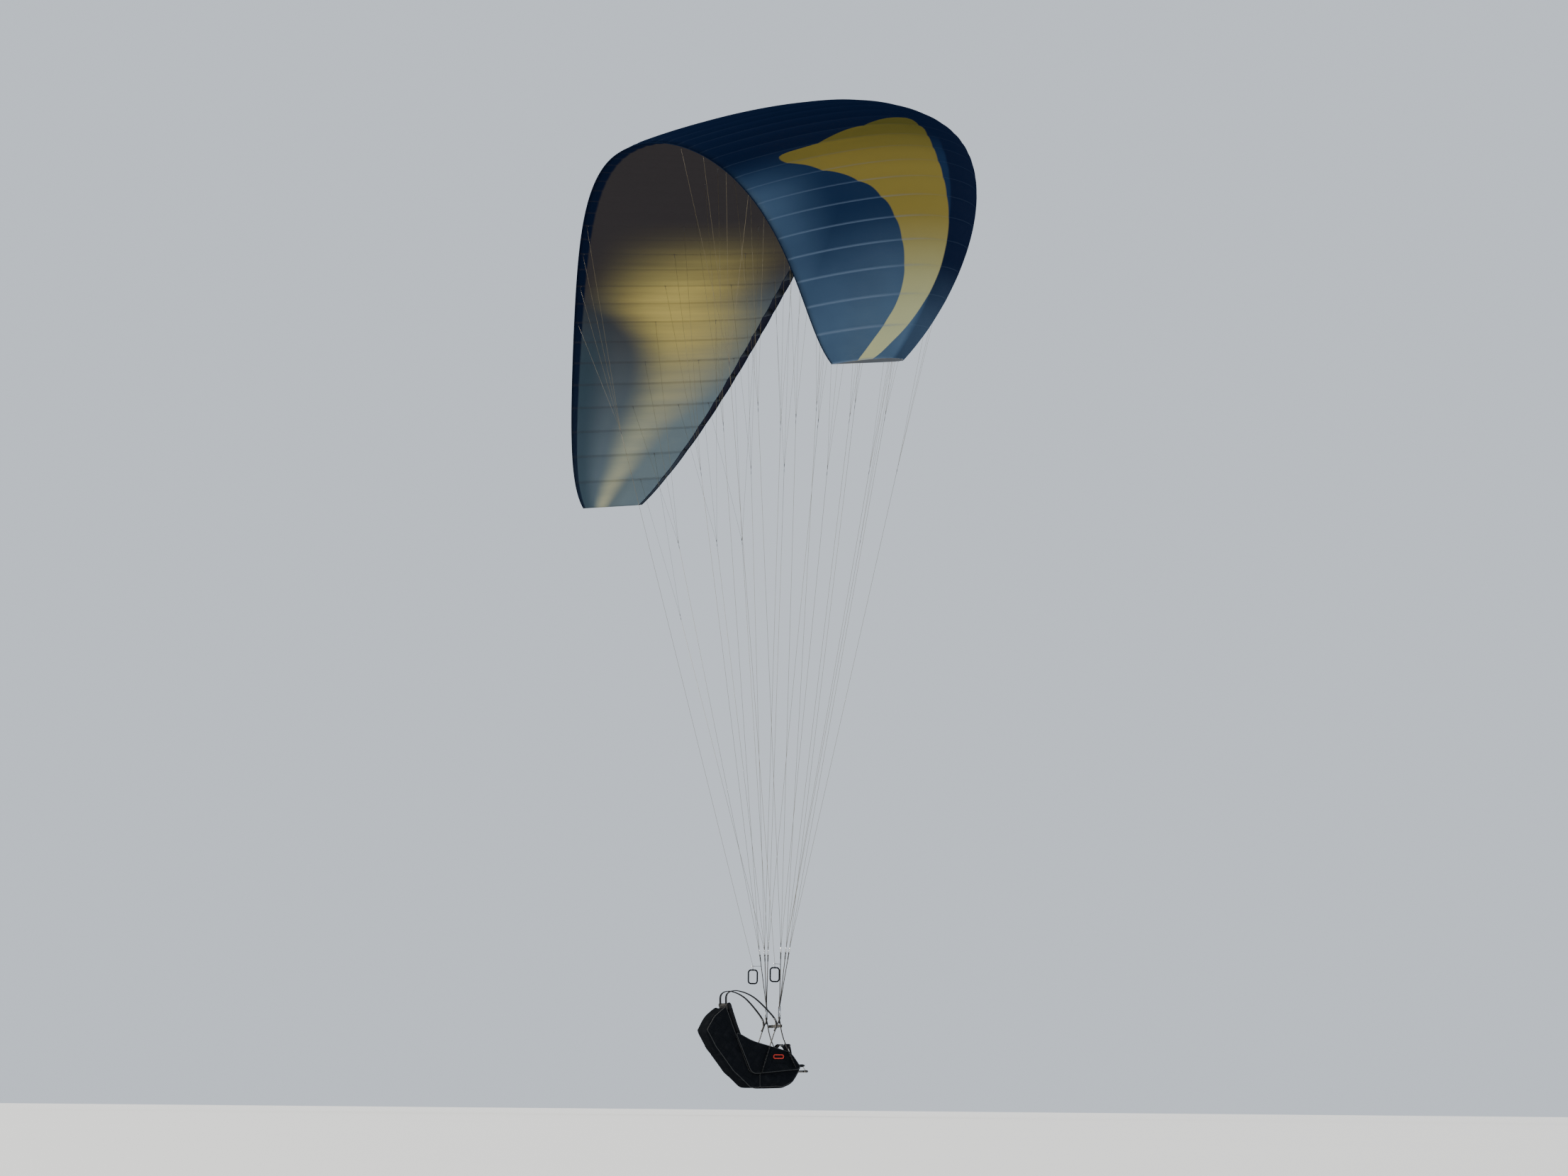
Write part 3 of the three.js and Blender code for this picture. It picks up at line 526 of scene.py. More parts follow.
def makeCanopyCloth():
    finish = Finish("ripstopCloth", Roughness=0.6, Specular_IOR_Level=0.0)
    share, chord, isLower = wingPattern(finish)
    fade = lambda value, name: finish.step(value, *fades[name])
    front = finish.curve(cloth["crescentFront"], share)
    rear = finish.curve(cloth["crescentRear"], share)
    crescent = fade(chord - front, "crescentEdge") * fade(rear - chord, "crescentEdge")

    # upper skin
    outward = fade(share, "blueOutward") * finish.step(chord, cloth["noseBand"], cloth["noseBand"] + 0.01)
    field = finish.mixed(outward, cloth["navy"], cloth["blue"])
    highlightPatchesAndRoughness = finish.noise(1.3, 3, finish.objectPlace())
    # painted highlight: the blue turns paler along the trailing edge, toward the tip and on the nose band
    # near the tip, in patches
    tailHighlight = fade(chord, "tail") * fade(share, "tailHighlightFade") * 0.62
    tipHighlight = fade(share, "tipHighlightFade") * 0.85
    noseBandHighlight = fade(share, "noseBandHighlightFade") * 0.4
    clear = fade(chord, "behindBand")
    paintedHighlight = (tailHighlight.atLeast(tipHighlight) * clear + noseBandHighlight * (1 - clear)) * (highlightPatchesAndRoughness * 1.3 + 0.35)
    field = finish.mixed(paintedHighlight, field, cloth["highlightBlue"])
    yellow = finish.mixed(fade(share, "oliveToYellow"), cloth["olive"], cloth["yellow"])
    # painted highlight: the yellow turns paler toward the tip
    yellow = finish.mixed(fade(share, "yellowToHighlight"), yellow, cloth["highlightYellow"])
    upperColor = finish.mixed(crescent, field, yellow)

    # lower skin: painted light and shade of the sun coming through both skins, with the upper skin's colours
    # showing through
    # painted light: paler toward the tip and brighter near the nose; painted shade at the centre, where the
    # navy upper skin blocks the light
    noseLight = (1 - fade(chord, "lowerNose")) * fade(share, "lowerNoseOutward") * 0.42
    paintedLowerLight = (fade(share, "lowerLightOutward") * 0.8 + noseLight).atMost(1)
    lowerColor = finish.mixed(paintedLowerLight, cloth["lowerInShade"], cloth["lowerLit"])
    # painted shade toward the trailing edge, away from the centre
    shaded = fade(chord, "lowerTailShade") * fade(share, "shadeOutward") * 0.75
    lowerColor = finish.mixed(shaded, lowerColor, cloth["lowerTailShade"])
    # painted glow: sunlight through the yellow crescent, golden, in streaks along the cells, creamier toward
    # the tip
    middle = finish.curve(cloth["patchMiddle"], share)
    noseReach = finish.curve(cloth["patchNose"], share)
    tailReach = finish.curve(cloth["patchTail"], share)
    strength = finish.curve(cloth["patchStrength"], share)
    fromMiddle = (chord - middle).atLeast(0) / tailReach + (middle - chord).atLeast(0) / noseReach
    glowStreaks = finish.noise(1.0, 3, finish.joinAxes(share * 60, chord * 1.6))
    gold = (1 - finish.step(fromMiddle, 0.0, 1.0)) * strength * (glowStreaks * 0.8 + 0.62)
    glowColor = finish.mixed(fade(share, "glowGoldToCream"), cloth["lowerGlowGold"], cloth["lowerGlowCream"])
    lowerColor = finish.mixed(gold.atMost(1), lowerColor, glowColor)
    lowerColor = finish.mixed(fade(chord, "lowerHem"), lowerColor, cloth["navy"])

    # seams at the ribs, with a painted highlight where the upper skin's seams and tapes catch the light
    ribGap = (share * wing["cells"]).offWhole() * cellWidth
    seam = 1 - finish.step(ribGap, cloth["seamWidth"] * 0.6, cloth["seamWidth"])
    tape = 1 - finish.step(ribGap, cloth["tapeWidth"] * 0.8, cloth["tapeWidth"])
    # painted highlight on the seams, away from the centre and behind the nose band
    seamHighlight = fade(share, "seamHighlightFade") * finish.step(chord, cloth["noseBand"], 0.6)
    upperColor = finish.mixed(tape * 0.35 * seamHighlight, upperColor, cloth["seam"])
    upperColor = finish.mixed(seam * (seamHighlight * 0.45 + 0.08), upperColor, cloth["seam"])
    # seam tapes on the lower skin, darkened also as painted shadow of the ribs
    lowerColor = finish.mixed(tape * 0.25, lowerColor, cloth["lowerInShade"])
    color = finish.mixed(isLower, upperColor, lowerColor)
    finish.set("Base Color", color)

    # ripstop weave, puckers beside the seams and soft creases
    local = (1 - wing["taper"] * share ** wing["taperPower"]).atLeast(0.01) ** 0.5
    spanMetres = share * halfSpan
    chordMetres = chord * local * wing["centreChord"]
    threads = finish.step((spanMetres / cloth["ripstop"]).offWhole(), 0.08, 0.0)
    threads = threads + finish.step((chordMetres / cloth["ripstop"]).offWhole(), 0.08, 0.0)
    pucker = finish.noise(1.0, 2, finish.joinAxes(spanMetres * 6, chordMetres * 22))
    creases = finish.noise(1.0, 4, finish.joinAxes(spanMetres * 5, chordMetres * 3.2))
    nearRib = 1 - finish.step(ribGap, 0.0, 0.075)
    relief = threads * 0.012 + pucker * nearRib * 0.9 + creases * 1.1 + seam * 0.15
    finish.bump(relief, 0.55, 0.010)
    finish.set("Roughness", 0.54 + highlightPatchesAndRoughness * 0.16 + seam * 0.15)
    goldPart = (gold - crescent * 0.5) * isLower + crescent * 0.5
    palePart = (paintedLowerLight - paintedHighlight * 0.4) * isLower + paintedHighlight * 0.4
    shares = [(palePart.atLeast(0), cloth["throughPale"]), (goldPart.atLeast(0), cloth["throughGold"])]
    finish.glow(0.42 + 0.10 * isLower, cloth["throughDark"], *shares)
    return finish


def makeRibCloth():
    finish = Finish("ribCloth", Roughness=0.6)
    weave = finish.noise(900, 1, finish.objectPlace())
    patches = finish.noise(7, 3, finish.objectPlace())
    finish.set("Base Color", finish.mixed(patches * 0.5, (0.035, 0.045, 0.065, 1), (0.075, 0.09, 0.115, 1)))
    finish.set("Roughness", 0.55 + patches * 0.15)
    finish.bump(weave * 0.2 + patches * 0.6, 0.3, 0.003)
    finish.glow(0.3, (0.10, 0.115, 0.14, 1))
    return finish


# Finishes of webbing, cords, packs and metal
def makeWebbing(name, main, thread, ridge=0.0016):
    finish = Finish(name, Roughness=0.7, Specular_IOR_Level=0.3)
    across, along = finish.mapAxes("cloth")
    herringbone = ((along / ridge) + ((across / ridge).offWhole() * 2)).offWhole() * 2
    ribs = (across / (ridge * 1.6)).offWhole() * 2
    wear = finish.noise(9, 4, finish.objectPlace())
    base = finish.mixed(herringbone * 0.5, main, thread)
    finish.set("Base Color", finish.mixed(finish.step(wear, 0.5, 0.8) * 0.35, base, thread))
    finish.set("Roughness", 0.62 + herringbone * 0.2)
    finish.bump(herringbone * 0.7 + ribs * 0.5 + wear * 0.3, 0.6, 0.0012)
    return finish


def makeCord(name, main, fleck, pitch=0.006):
    finish = Finish(name, Roughness=0.55)
    around, along = finish.mapAxes("cloth")
    braid = ((along / pitch) + around * 2).offWhole() + ((along / pitch) - around * 2).offWhole()
    dirt = finish.noise(14, 3, finish.objectPlace())
    color = finish.mixed(finish.step(braid, 0.35, 0.7), main, fleck)
    finish.set("Base Color", finish.mixed(dirt * 0.3, color, fleck))
    finish.set("Roughness", 0.48 + dirt * 0.2)
    finish.bump(braid, 0.5, 0.0006)
    return finish


def makePackCloth(name, main, worn, quilt=None, holes=None, gloss=0.0):
    # quilt: spacing of crossed sewn channels; holes: spacing of a spacer mesh
    finish = Finish(name, Roughness=0.8, Specular_IOR_Level=gloss)
    where = finish.objectPlace()
    x, y, z = finish.splitAxes(where)
    weave = (x * 520).wave() * (y * 520 + z * 520).wave()
    folds = finish.noise(5.5, 4, where)
    dust = finish.noise(22, 5, where)
    relief = weave * 0.05 + folds * 1.2 + dust * 0.12
    color = finish.mixed(finish.step(dust, 0.45, 0.8) * 0.45, main, worn)
    if quilt:
        rising = 1 - finish.step(((y + z * 0.7) / quilt).offWhole() * quilt, 0.0, 0.005)
        falling = 1 - finish.step(((y * 0.7 - z) / quilt).offWhole() * quilt, 0.0, 0.005)
        channel = rising.atLeast(falling)
        relief = relief - channel * 0.9
        color = finish.mixed(channel * 0.5, color, main)
    if holes:
        down = y * 0.4 + z
        gap = (x / holes).offWhole() ** 2 + ((down / holes).offWhole()) ** 2
        hole = 1 - finish.step(gap, 0.05, 0.16)
        seam = 1 - finish.step((down / 0.105).offWhole() * 0.105, 0.0, 0.005)
        relief = relief - hole * 0.25 - seam * 1.2
        color = finish.mixed(hole.atLeast(seam) * 0.7, color, (0.003, 0.003, 0.004, 1))
    finish.set("Base Color", color)
    finish.set("Roughness", 0.68 + dust * 0.22)
    finish.bump(relief, 0.6, 0.006)
    return finish


def makeMetal(name, tint, metallic, rough, scratch):
    finish = Finish(name, Base_Color=tint, Metallic=metallic)
    where = finish.objectPlace()
    drawnOut = finish.add("ShaderNodeMapping", None, {"Vector": where, "Scale": (900, 900, 60)})
    brushed = finish.noise(1.0, 3, drawnOut)
    wear = finish.noise(60, 4, where)
    scuffed = finish.step(wear, 0.55, 0.75)
    finish.set("Base Color", finish.mixed(scuffed * 0.5, tint, scratch))
    finish.set("Roughness", rough + brushed * 0.12 + scuffed * 0.12)
    finish.bump(brushed * 0.3 + wear * 0.4, 0.25, 0.0004)
    return finish


finishes = {
    "canopy": makeCanopyCloth(),
    "rib": makeRibCloth(),
    "hem": makePackCloth("hemTape", (0.005, 0.011, 0.030, 1), (0.012, 0.024, 0.05, 1)),
    "line": makeCord("sheathedLine", (0.20, 0.165, 0.075, 1), (0.09, 0.075, 0.04, 1)),
    "brakeLine": makeCord("brakeLineCord", (0.26, 0.20, 0.08, 1), (0.09, 0.07, 0.045, 1)),
    "whipping": makeCord("whipping", (0.05, 0.05, 0.055, 1), (0.12, 0.12, 0.12, 1), 0.002),
    "webbing": makeWebbing("blackWebbing", (0.008, 0.008, 0.009, 1), (0.028, 0.029, 0.031, 1)),
    "greyWebbing": makeWebbing("greyWebbing", (0.022, 0.023, 0.025, 1), (0.055, 0.057, 0.060, 1)),
    "redWebbing": makeWebbing("redWebbing", (0.42, 0.02, 0.014, 1), (0.55, 0.07, 0.05, 1)),
    "thread": makeCord("thread", (0.20, 0.20, 0.20, 1), (0.10, 0.10, 0.10, 1), 0.001),
    "pack": makePackCloth("packCloth", (0.007, 0.008, 0.010, 1), (0.017, 0.018, 0.021, 1)),
    "padding": makePackCloth("quiltedPadding", (0.007, 0.008, 0.010, 1), (0.017, 0.018, 0.021, 1), 0.085),
    "mesh": makePackCloth("spacerMesh", (0.016, 0.017, 0.019, 1), (0.040, 0.040, 0.044, 1), holes=0.0055,
                          gloss=0.05),
    "steel": makeMetal("stainlessSteel", (0.52, 0.53, 0.54, 1), 1.0, 0.24, (0.35, 0.35, 0.36, 1)),
    "alloy": makeMetal("anodisedAlloy", (0.20, 0.21, 0.23, 1), 1.0, 0.32, (0.55, 0.56, 0.58, 1)),
    "plastic": makeMetal("mouldedPlastic", (0.018, 0.018, 0.020, 1), 0.0, 0.42, (0.06, 0.06, 0.06, 1)),
}
print("finishes made")

# Canopy: each half is one sheet from the mouth over the top and back underneath
canopy = {
    "stepsPerCell": 10,
    "ribInset": 0.0016,
    "ribEnd": 0.975,
    "ribSteps": (60, 8),
    "portAt": (0.16, 0.28, 0.40, 0.52, 0.64, 0.75),
    "portHalfChord": 0.042,
    "portHalfHeight": 0.29,
    "edgeTape": 0.0028,
    "bendStart": 0.70,  # chord share where the brake's bend starts and ends
    "bendEnd": 0.88,
    "bendRibs": (3.2, 7.0, 13.0, 17.2),
}


def smooth(value, start, end):
    t = min(max((value - start) / (end - start), 0), 1)
    return t * t * (3 - 2 * t)


def brakeShare(rib, u):  # how far a point of the canopy follows the brake
    inStart, inEnd, outStart, outEnd = canopy["bendRibs"]
    lateral = smooth(abs(rib), inStart, inEnd) * (1 - smooth(abs(rib), outStart, outEnd))
    return lateral * smooth(u, canopy["bendStart"], canopy["bendEnd"])


def vertexLayer(shape, name):
    return shape.verts.layers.float.get(name) or shape.verts.layers.float.new(name)


def bendWithBrake(piece, sideName):
    sign = sideSigns[sideName]
    start = skinPoint(sign * 10, canopy["bendStart"], -1)
    end = skinPoint(sign * 10, canopy["bendEnd"], -1)
    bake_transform(piece)
    ribs = piece.data.attributes["rib"].data
    chords = piece.data.attributes["chord"].data
    follow = [brakeShare(rib.value, u.value) for rib, u in zip(ribs, chords)]


def addMappedSheet(shape, columns, rows, where, place):
    # a sheet whose corners know their rib and chord; where(across, along) gives them
    vertexLayer(shape, "rib")
    vertexLayer(shape, "chord")
    places = []

    def put(across, along):
        places.append(where(across, along))
        return place(across, along)

    corners = addSheet(shape, columns, rows, put, mapName="wing")
    ribLayer, chordLayer = vertexLayer(shape, "rib"), vertexLayer(shape, "chord")
    for v, (rib, u) in zip(corners, places):
        v[ribLayer] = rib
        v[chordLayer] = u
    return corners


def makeSkin(sideName):
    sign = sideSigns[sideName]
    cells = wing["cells"]
    shape = bmesh.new()

    def where(across, along):
        return sign * across * cells, aroundSection(along)[0]

    def place(across, along):
        u, face = aroundSection(along)
        return skinPoint(sign * across * cells, u, face)

    columns = cells * canopy["stepsPerCell"]
    addMappedSheet(shape, columns, aroundSteps, where, place)
    shape.normal_update()
    top = max(shape.faces, key=lambda f: f.calc_center_median().z)
    if top.normal.z < 0:
        bmesh.ops.reverse_faces(shape, faces=shape.faces)
    nodes = [f"canopy_{part}_{sideName}" for part in ("inner", "middle", "outer", "tip")]
    nodes += ["canopy_centre", f"brake_flap_{sideName}"]
    piece = addPiece(shape, f"skin{sideName.title()}", "canopy", nodes=nodes)
    bendWithBrake(piece, sideName)
    return piece


def sectionLength(share):  # round the section at a share of the half span, without the mouth
    steps = [aroundSection(i / aroundSteps) for i in range(aroundSteps + 1)]
    points = [Vector((u, skinHeight(u, face, share))) for u, face in steps]
    return pathLength(points) * chordAt(share)


def declareCloth(skin, tape, sideName):  # the half skin's panels, laid flat edge to edge
    ribs = [sectionLength(rib / wing["cells"]) for rib in range(wing["cells"] + 1)]
    area = sum((a + b) / 2 * cellWidth for a, b in zip(ribs, ribs[1:]))
    print(f"cloth of the {sideName} half: {halfSpan:.2f} by {max(ribs):.2f} m, {area:.2f} square metres")


def makeRibs(sideName):
    sign = sideSigns[sideName]
    shape = bmesh.new()
    inset = -canopy["ribInset"]
    columns, rows = canopy["ribSteps"]
    for rib in range(0 if sign > 0 else 1, wing["cells"] + 1):
        def where(across, along):
            return sign * rib, canopy["ribEnd"] * across**1.5

        def place(across, along):
            u = canopy["ribEnd"] * across**1.5
            return skinPoint(sign * rib, u, -1, inset).lerp(skinPoint(sign * rib, u, 1, inset), along)

        corners = addMappedSheet(shape, columns, rows, where, place)
        if rib == wing["cells"]:
            continue  # the tip is closed
        uvLayer = shape.loops.layers.uv["wing"]
        holes = []
        for face in {f for v in corners for f in v.link_faces}:
            across = sum(loop[uvLayer].uv.x for loop in face.loops) / 4
            along = sum(loop[uvLayer].uv.y for loop in face.loops) / 4
            for port in canopy["portAt"]:
                aside = (across**1.5 - port) / canopy["portHalfChord"]
                above = (along - 0.5) / canopy["portHalfHeight"]
                if aside**2 + above**2 < 1:
                    holes.append(face)
        bmesh.ops.delete(shape, geom=holes, context="FACES")
    bendWithBrake(addPiece(shape, f"ribs{sideName.title()}", "rib"), sideName)


def makeEdgeTapes(sideName):  # hems at the cell mouths and the trailing edge
    sign = sideSigns[sideName]
    shape = bmesh.new()
    cells = wing["cells"]
    steps = cells * canopy["stepsPerCell"]
    radius = canopy["edgeTape"]
    edges = [(wing["mouthFront"], -1), (wing["mouthBack"], -1), (1.0, -1)]
    for u, face in edges:
        points = [skinPoint(sign * cells * i / steps, u, face) for i in range(steps + 1)]

        def where(around, along):
            return sign * cells * along, u

        def place(around, along):
            at, direction = onPath(points, along)
            out = direction.cross(alongY).normalized()
            back = out.cross(direction)
            turn = 2 * math.pi * around
            return at + radius * (math.cos(turn) * out + math.sin(turn) * back)

        addMappedSheet(shape, 6, steps, where, place)
    piece = addPiece(shape, f"edgeTape{sideName.title()}", "hem", merge=1e-6)
    bendWithBrake(piece, sideName)
    return piece


for sideName in sideSigns:
    makeRibs(sideName)
    declareCloth(makeSkin(sideName), makeEdgeTapes(sideName), sideName)
print("canopy made")

# Lines: rows of attachments, a fork in each main line, tabs on the canopy
rigging = {
    "rows": {
        "a": (0.1, [[1, 3, 5], [7, 9, 11], [13, 15, 17]]),
        "b": (0.3, [[1, 3, 5], [7, 9, 11], [13, 15, 17], [19, 20]]),
        "c": (0.6, [[1, 3, 5], [7, 9, 11], [13, 15, 17]]),
    },
    "fork": 0.7,
    "mainRadius": 0.0013,
    "upperRadius": 0.0009,
    "spliceLength": 0.05,
    "tab": (0.010, 0.022),
    "tabThickness": 0.0012,
    "brakeRibs": [7, 9, 11, 13],
    "brakeChord": 0.985,
    "brakeFork": 0.76,
}
hanging = {  # the carabiners, risers and what joins them
    "halfSpan": 0.215,
    "back": 0.25,
    "drop": 7.467,
    # sleeve and nut: heights and radii
    "carabiner": {
        "width": 0.056, "height": 0.096, "rod": 0.005, "corner": 0.014,
        "sleeve": [(-0.020, 0.0064), (-0.019, 0.0072), (-0.006, 0.0072), (-0.005, 0.0066), (0.012, 0.0066),
                   (0.013, 0.0060)],
    },
    "riserLength": 0.5,
    "riserWidth": 0.020,
    "riserThickness": 0.0028,
    "maillon": {
        "width": 0.034, "height": 0.046, "rod": 0.0025, "corner": 0.0085,
        "nut": [(-0.008, 0.0036), (-0.0072, 0.0043), (0.0072, 0.0043), (0.008, 0.0036)],
    },
    "pulleyUp": 0.380,
    "pulleyAside": 0.046,
    "pulleyBack": 0.062,
}
carabinerBar = hanging["carabiner"]["height"] / 2 - hanging["carabiner"]["rod"]


def carabinerPoint(sign, up=0.0):
    return Vector((sign * hanging["halfSpan"], hanging["back"], up - hanging["drop"]))


def tabPoint(rib, u):
    return skinPoint(rib, u, -1, 0.0012)


def mean(points):
    return sum(points[1:], points[0]) / len(points)


def rowPlan(row, sign):
    chord, mains = rigging["rows"][row]
    foot = carabinerPoint(sign, 2 * carabinerBar)
    ends = [[tabPoint(sign * rib, chord) for rib in ribs] for ribs in mains]
    forks = [foot.lerp(mean(points), rigging["fork"]) for points in ends]
    direction = (mean(forks[:3]) - foot).normalized()
    link = foot + direction * hanging["riserLength"]
    return {"foot": foot, "ends": ends, "forks": forks, "direction": direction, "link": link}


def straight(start, end, steps=1):
    return [start.lerp(end, i / steps) for i in range(steps + 1)]


def addLine(shape, start, end, radius, steps=1):
    addTube(shape, straight(start, end, steps), radius, sides=6)


def addSplices(shape, start, end, radius):  # the doubled, sewn ends of a line
    direction = (end - start).normalized()
    length = rigging["spliceLength"]
    for at, way in ((start, direction), (end, -direction)):
        addTaperedBead(shape, at + way * length / 2, direction, length, radius * 1.9, sides=6)


def makeRow(row, sideName):
    sign = sideSigns[sideName]
    plan = rowPlan(row, sign)
    lines = bmesh.new()
    splices = bmesh.new()
    link = hanging["maillon"]
    bottom = plan["link"] + plan["direction"] * (link["height"] / 2 - link["rod"])
    for fork, ends in zip(plan["forks"], plan["ends"]):
        addLine(lines, bottom, fork, rigging["mainRadius"])
        addSplices(splices, bottom, fork, rigging["mainRadius"])
        for end in ends:
            addLine(lines, fork, end, rigging["upperRadius"])
            addSplices(splices, fork, end, rigging["upperRadius"])
    name = f"{row}{sideName.title()}"
    addPiece(lines, f"rowLines{name}", "line", "canopy", [f"lines_{row}_{sideName}"])
    addPiece(splices, f"rowSplices{name}", "whipping", "canopy")


def addTab(shape, rib, u):  # a small sewn loop under a rib
    width, height = rigging["tab"]
    at = skinPoint(rib, u, -1, 0.0)
    down = (skinPoint(rib, u, -1, 0.01) - at).normalized()
    back = (skinPoint(rib, min(u + 0.01, 1), -1) - skinPoint(rib, u - 0.01, -1)).normalized()
    loop = [at + back * x + down * y for x, y in roundedLoop(width, height, width / 2.2, steps=3)]
    loop = [p + down * (height / 2 - 0.012) for p in loop]
    addTube(shape, loop, rigging["tabThickness"], sides=4, closed=True, side=back.cross(down))


def makeTabs(sideName):
    sign = sideSigns[sideName]
    shape = bmesh.new()
    for chord, mains in rigging["rows"].values():
        for rib in (n for ribs in mains for n in ribs):
            addTab(shape, sign * rib, chord)
    addPiece(shape, f"lineTabs{sideName.title()}", "whipping", "canopy")
    shape = bmesh.new()
    for rib in rigging["brakeRibs"]:
        addTab(shape, sign * rib, rigging["brakeChord"] - 0.006)
    addPiece(shape, f"brakeTabs{sideName.title()}", "whipping", f"brake_flap_{sideName}")


def brakePlan(sign):
    rear = rowPlan("c", sign)
    strapPoint = rear["foot"] + rear["direction"] * hanging["pulleyUp"]
    eye = strapPoint + Vector((sign * hanging["pulleyAside"], hanging["pulleyBack"], 0))
    ends = [tabPoint(sign * rib, rigging["brakeChord"]) for rib in rigging["brakeRibs"]]
    fork = eye.lerp(mean(ends), rigging["brakeFork"])
    return {"strapPoint": strapPoint, "eye": eye, "ends": ends, "fork": fork}


def turnAbout(point, pivot, axis, angle):
    return pivot + Matrix.Rotation(angle, 3, axis) @ (point - pivot)


def makeBrakeLine(sideName):
    # one piece whose points carry how far they follow the brake: none at the pulley, all at the fork, and at
    # each end the share that keeps it to the trailing edge
    sign = sideSigns[sideName]
    plan = brakePlan(sign)
    joints = {j["name"]: j for j in frame["joints"]}
    turn = joints[f"brake_flap_{sideName}_turn"]
    run = joints[f"brake_line_{sideName}_run"]
    full = math.radians(turn["range_deg"][1])
    travel = run["range_m"][1] * Vector(run["axis"]).normalized()
    shape = bmesh.new()
    follow = shape.verts.layers.float.new("follow")

    def addFollowing(start, end, radius, steps, first, last):
        along = (end - start).normalized()
        reach = (end - start).length
        for v in addTube(shape, straight(start, end, steps), radius, sides=6):
            share = min(max((v.co - start).dot(along) / reach, 0), 1)
            v[follow] = first + (last - first) * share

    addFollowing(plan["eye"], plan["fork"], rigging["mainRadius"], 24, 0, 1)
    for end in plan["ends"]:
        moved = turnAbout(end, Vector(turn["pos_m"]), Vector(turn["axis"]), full) - end
        share = moved.dot(travel) / travel.length_squared
        addFollowing(plan["fork"], end, rigging["upperRadius"], 6, 1, share)
    body = f"brake_line_{sideName}"
    piece = addPiece(shape, f"brakeLine{sideName.title()}", "brakeLine", nodes=[body])
    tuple(plan["eye"])
    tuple(plan["fork"])
    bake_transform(piece)
    shares = [each.value for each in piece.data.attributes["follow"].data]

    knot = bmesh.new()
    addTaperedBead(knot, plan["fork"], plan["fork"] - plan["eye"], 0.07, 0.0032, sides=8)
    addPiece(knot, f"brakeKnot{sideName.title()}", "whipping", body)


for sideName in sideSigns:
    for row in rigging["rows"]:
        makeRow(row, sideName)
    makeTabs(sideName)
    makeBrakeLine(sideName)
print("lines made")

# Risers, links, carabiners, pulleys and brake handles
# a stitch starts and ends at a share of its pitch
stitch = {"radius": 0.0004, "start": 0.15, "end": 0.75, "perRiser": 60}


def frameAlong(origin, upward):  # third axis along a direction, first axis across the span
    across = (acrossX - upward * upward.x).normalized()
    back = upward.cross(across)
    return Matrix.Translation(origin) @ Matrix((across, back, upward)).transposed().to_4x4()


def addRing(shape, place, size, sides=12, steps=8):
    width = size["width"] - 2 * size["rod"]
    height = size["height"] - 2 * size["rod"]
    path = roundedLoop(width, height, size["corner"], steps)
    points = [place @ Vector((x, 0, z)) for x, z in path]
    normal = (place.to_3x3() @ alongY).normalized()
    addTube(shape, points, size["rod"], sides=sides, closed=True, side=normal)


def addTurned(shape, place, x, profile, sides):  # a round sleeve; its profile is heights and radii
    points = [place @ Vector((x, 0, z)) for z, radius in profile]
    size = lambda share: profile[round(share * (len(profile) - 1))][1]
    addTube(shape, points, size, sides=sides, side=place.to_3x3() @ alongY)


def makeCarabiner(sideName):
    sign = sideSigns[sideName]
    size = hanging["carabiner"]
    place = Matrix.Translation(carabinerPoint(sign, carabinerBar))
    ring = bmesh.new()
    addRing(ring, place, size, sides=16)
    nodes = [f"carabiner_{sideName}"]
    addPiece(ring, f"carabinerRing{sideName.title()}", "alloy", "canopy", nodes, merge=1e-6)

    gateX = sign * (size["width"] / 2 - size["rod"])
    gate = bmesh.new()
    addTurned(gate, place, gateX, size["sleeve"], 20)
    for x, y in circle(0.0072, 20):  # the sleeve's knurling
        ends = [place @ Vector((gateX + x, y, z)) for z in (-0.018, -0.007)]
        addTube(gate, ends, 0.0005, sides=4)
    for z in (0.027, -0.027):
        ends = [place @ Vector((gateX, y, z)) for y in (-0.0066, 0.0066)]
        addTube(gate, ends, 0.0017, sides=10)
    addPiece(gate, f"carabinerGate{sideName.title()}", "steel", "canopy")


def makeMaillon(row, sideName):
    sign = sideSigns[sideName]
    plan = rowPlan(row, sign)
    place = frameAlong(plan["link"], plan["direction"])
    size = hanging["maillon"]
    shape = bmesh.new()
    addRing(shape, place, size, sides=12)
    nutX = sign * (size["width"] / 2 - size["rod"])
    addTurned(shape, place, nutX, size["nut"], 6)
    for i in range(5):  # threads above the nut
        z = 0.0088 + i * 0.0009
        addTurned(shape, place, nutX, [(z, 0.0027), (z + 0.0004, 0.0027)], 10)
    name = f"{row.upper()}{sideName.title()}"
    addPiece(shape, f"quickLink{name}", "steel", "canopy", [f"maillon_{row}_{sideName}"])

    band = bmesh.new()  # the rubber insert that keeps the lines at the end of the link
    for aside in (-0.004, 0.0, 0.004):
        points = [place @ Vector((aside + x * 0.0036, y * 0.0042, 0.0195)) for x, y in circle(1, 8)]
        addTube(band, points, 0.0013, sides=6, closed=True, side=plan["direction"])
    addPiece(band, f"linkInsert{name}", "plastic", "canopy")


def loopAround(place, barRadius, tail, thickness, steps=12):
    # a webbing path that comes up to a bar, round it and back down, in a frame whose bar is its origin
    out = barRadius + thickness / 2 + 0.0003
    turn = [math.pi * (i / steps) for i in range(steps + 1)]
    up = [Vector((0, -thickness * 0.55, -tail)), Vector((0, -thickness * 0.6, -out * 2.6))]
    over = [Vector((0, -out * math.cos(a), out * math.sin(a))) for a in turn]
    down = [Vector((0, thickness * 0.6, -out * 2.6)), Vector((0, thickness * 0.55, -tail))]
    return [place @ p for p in (*up, *over, *down)]


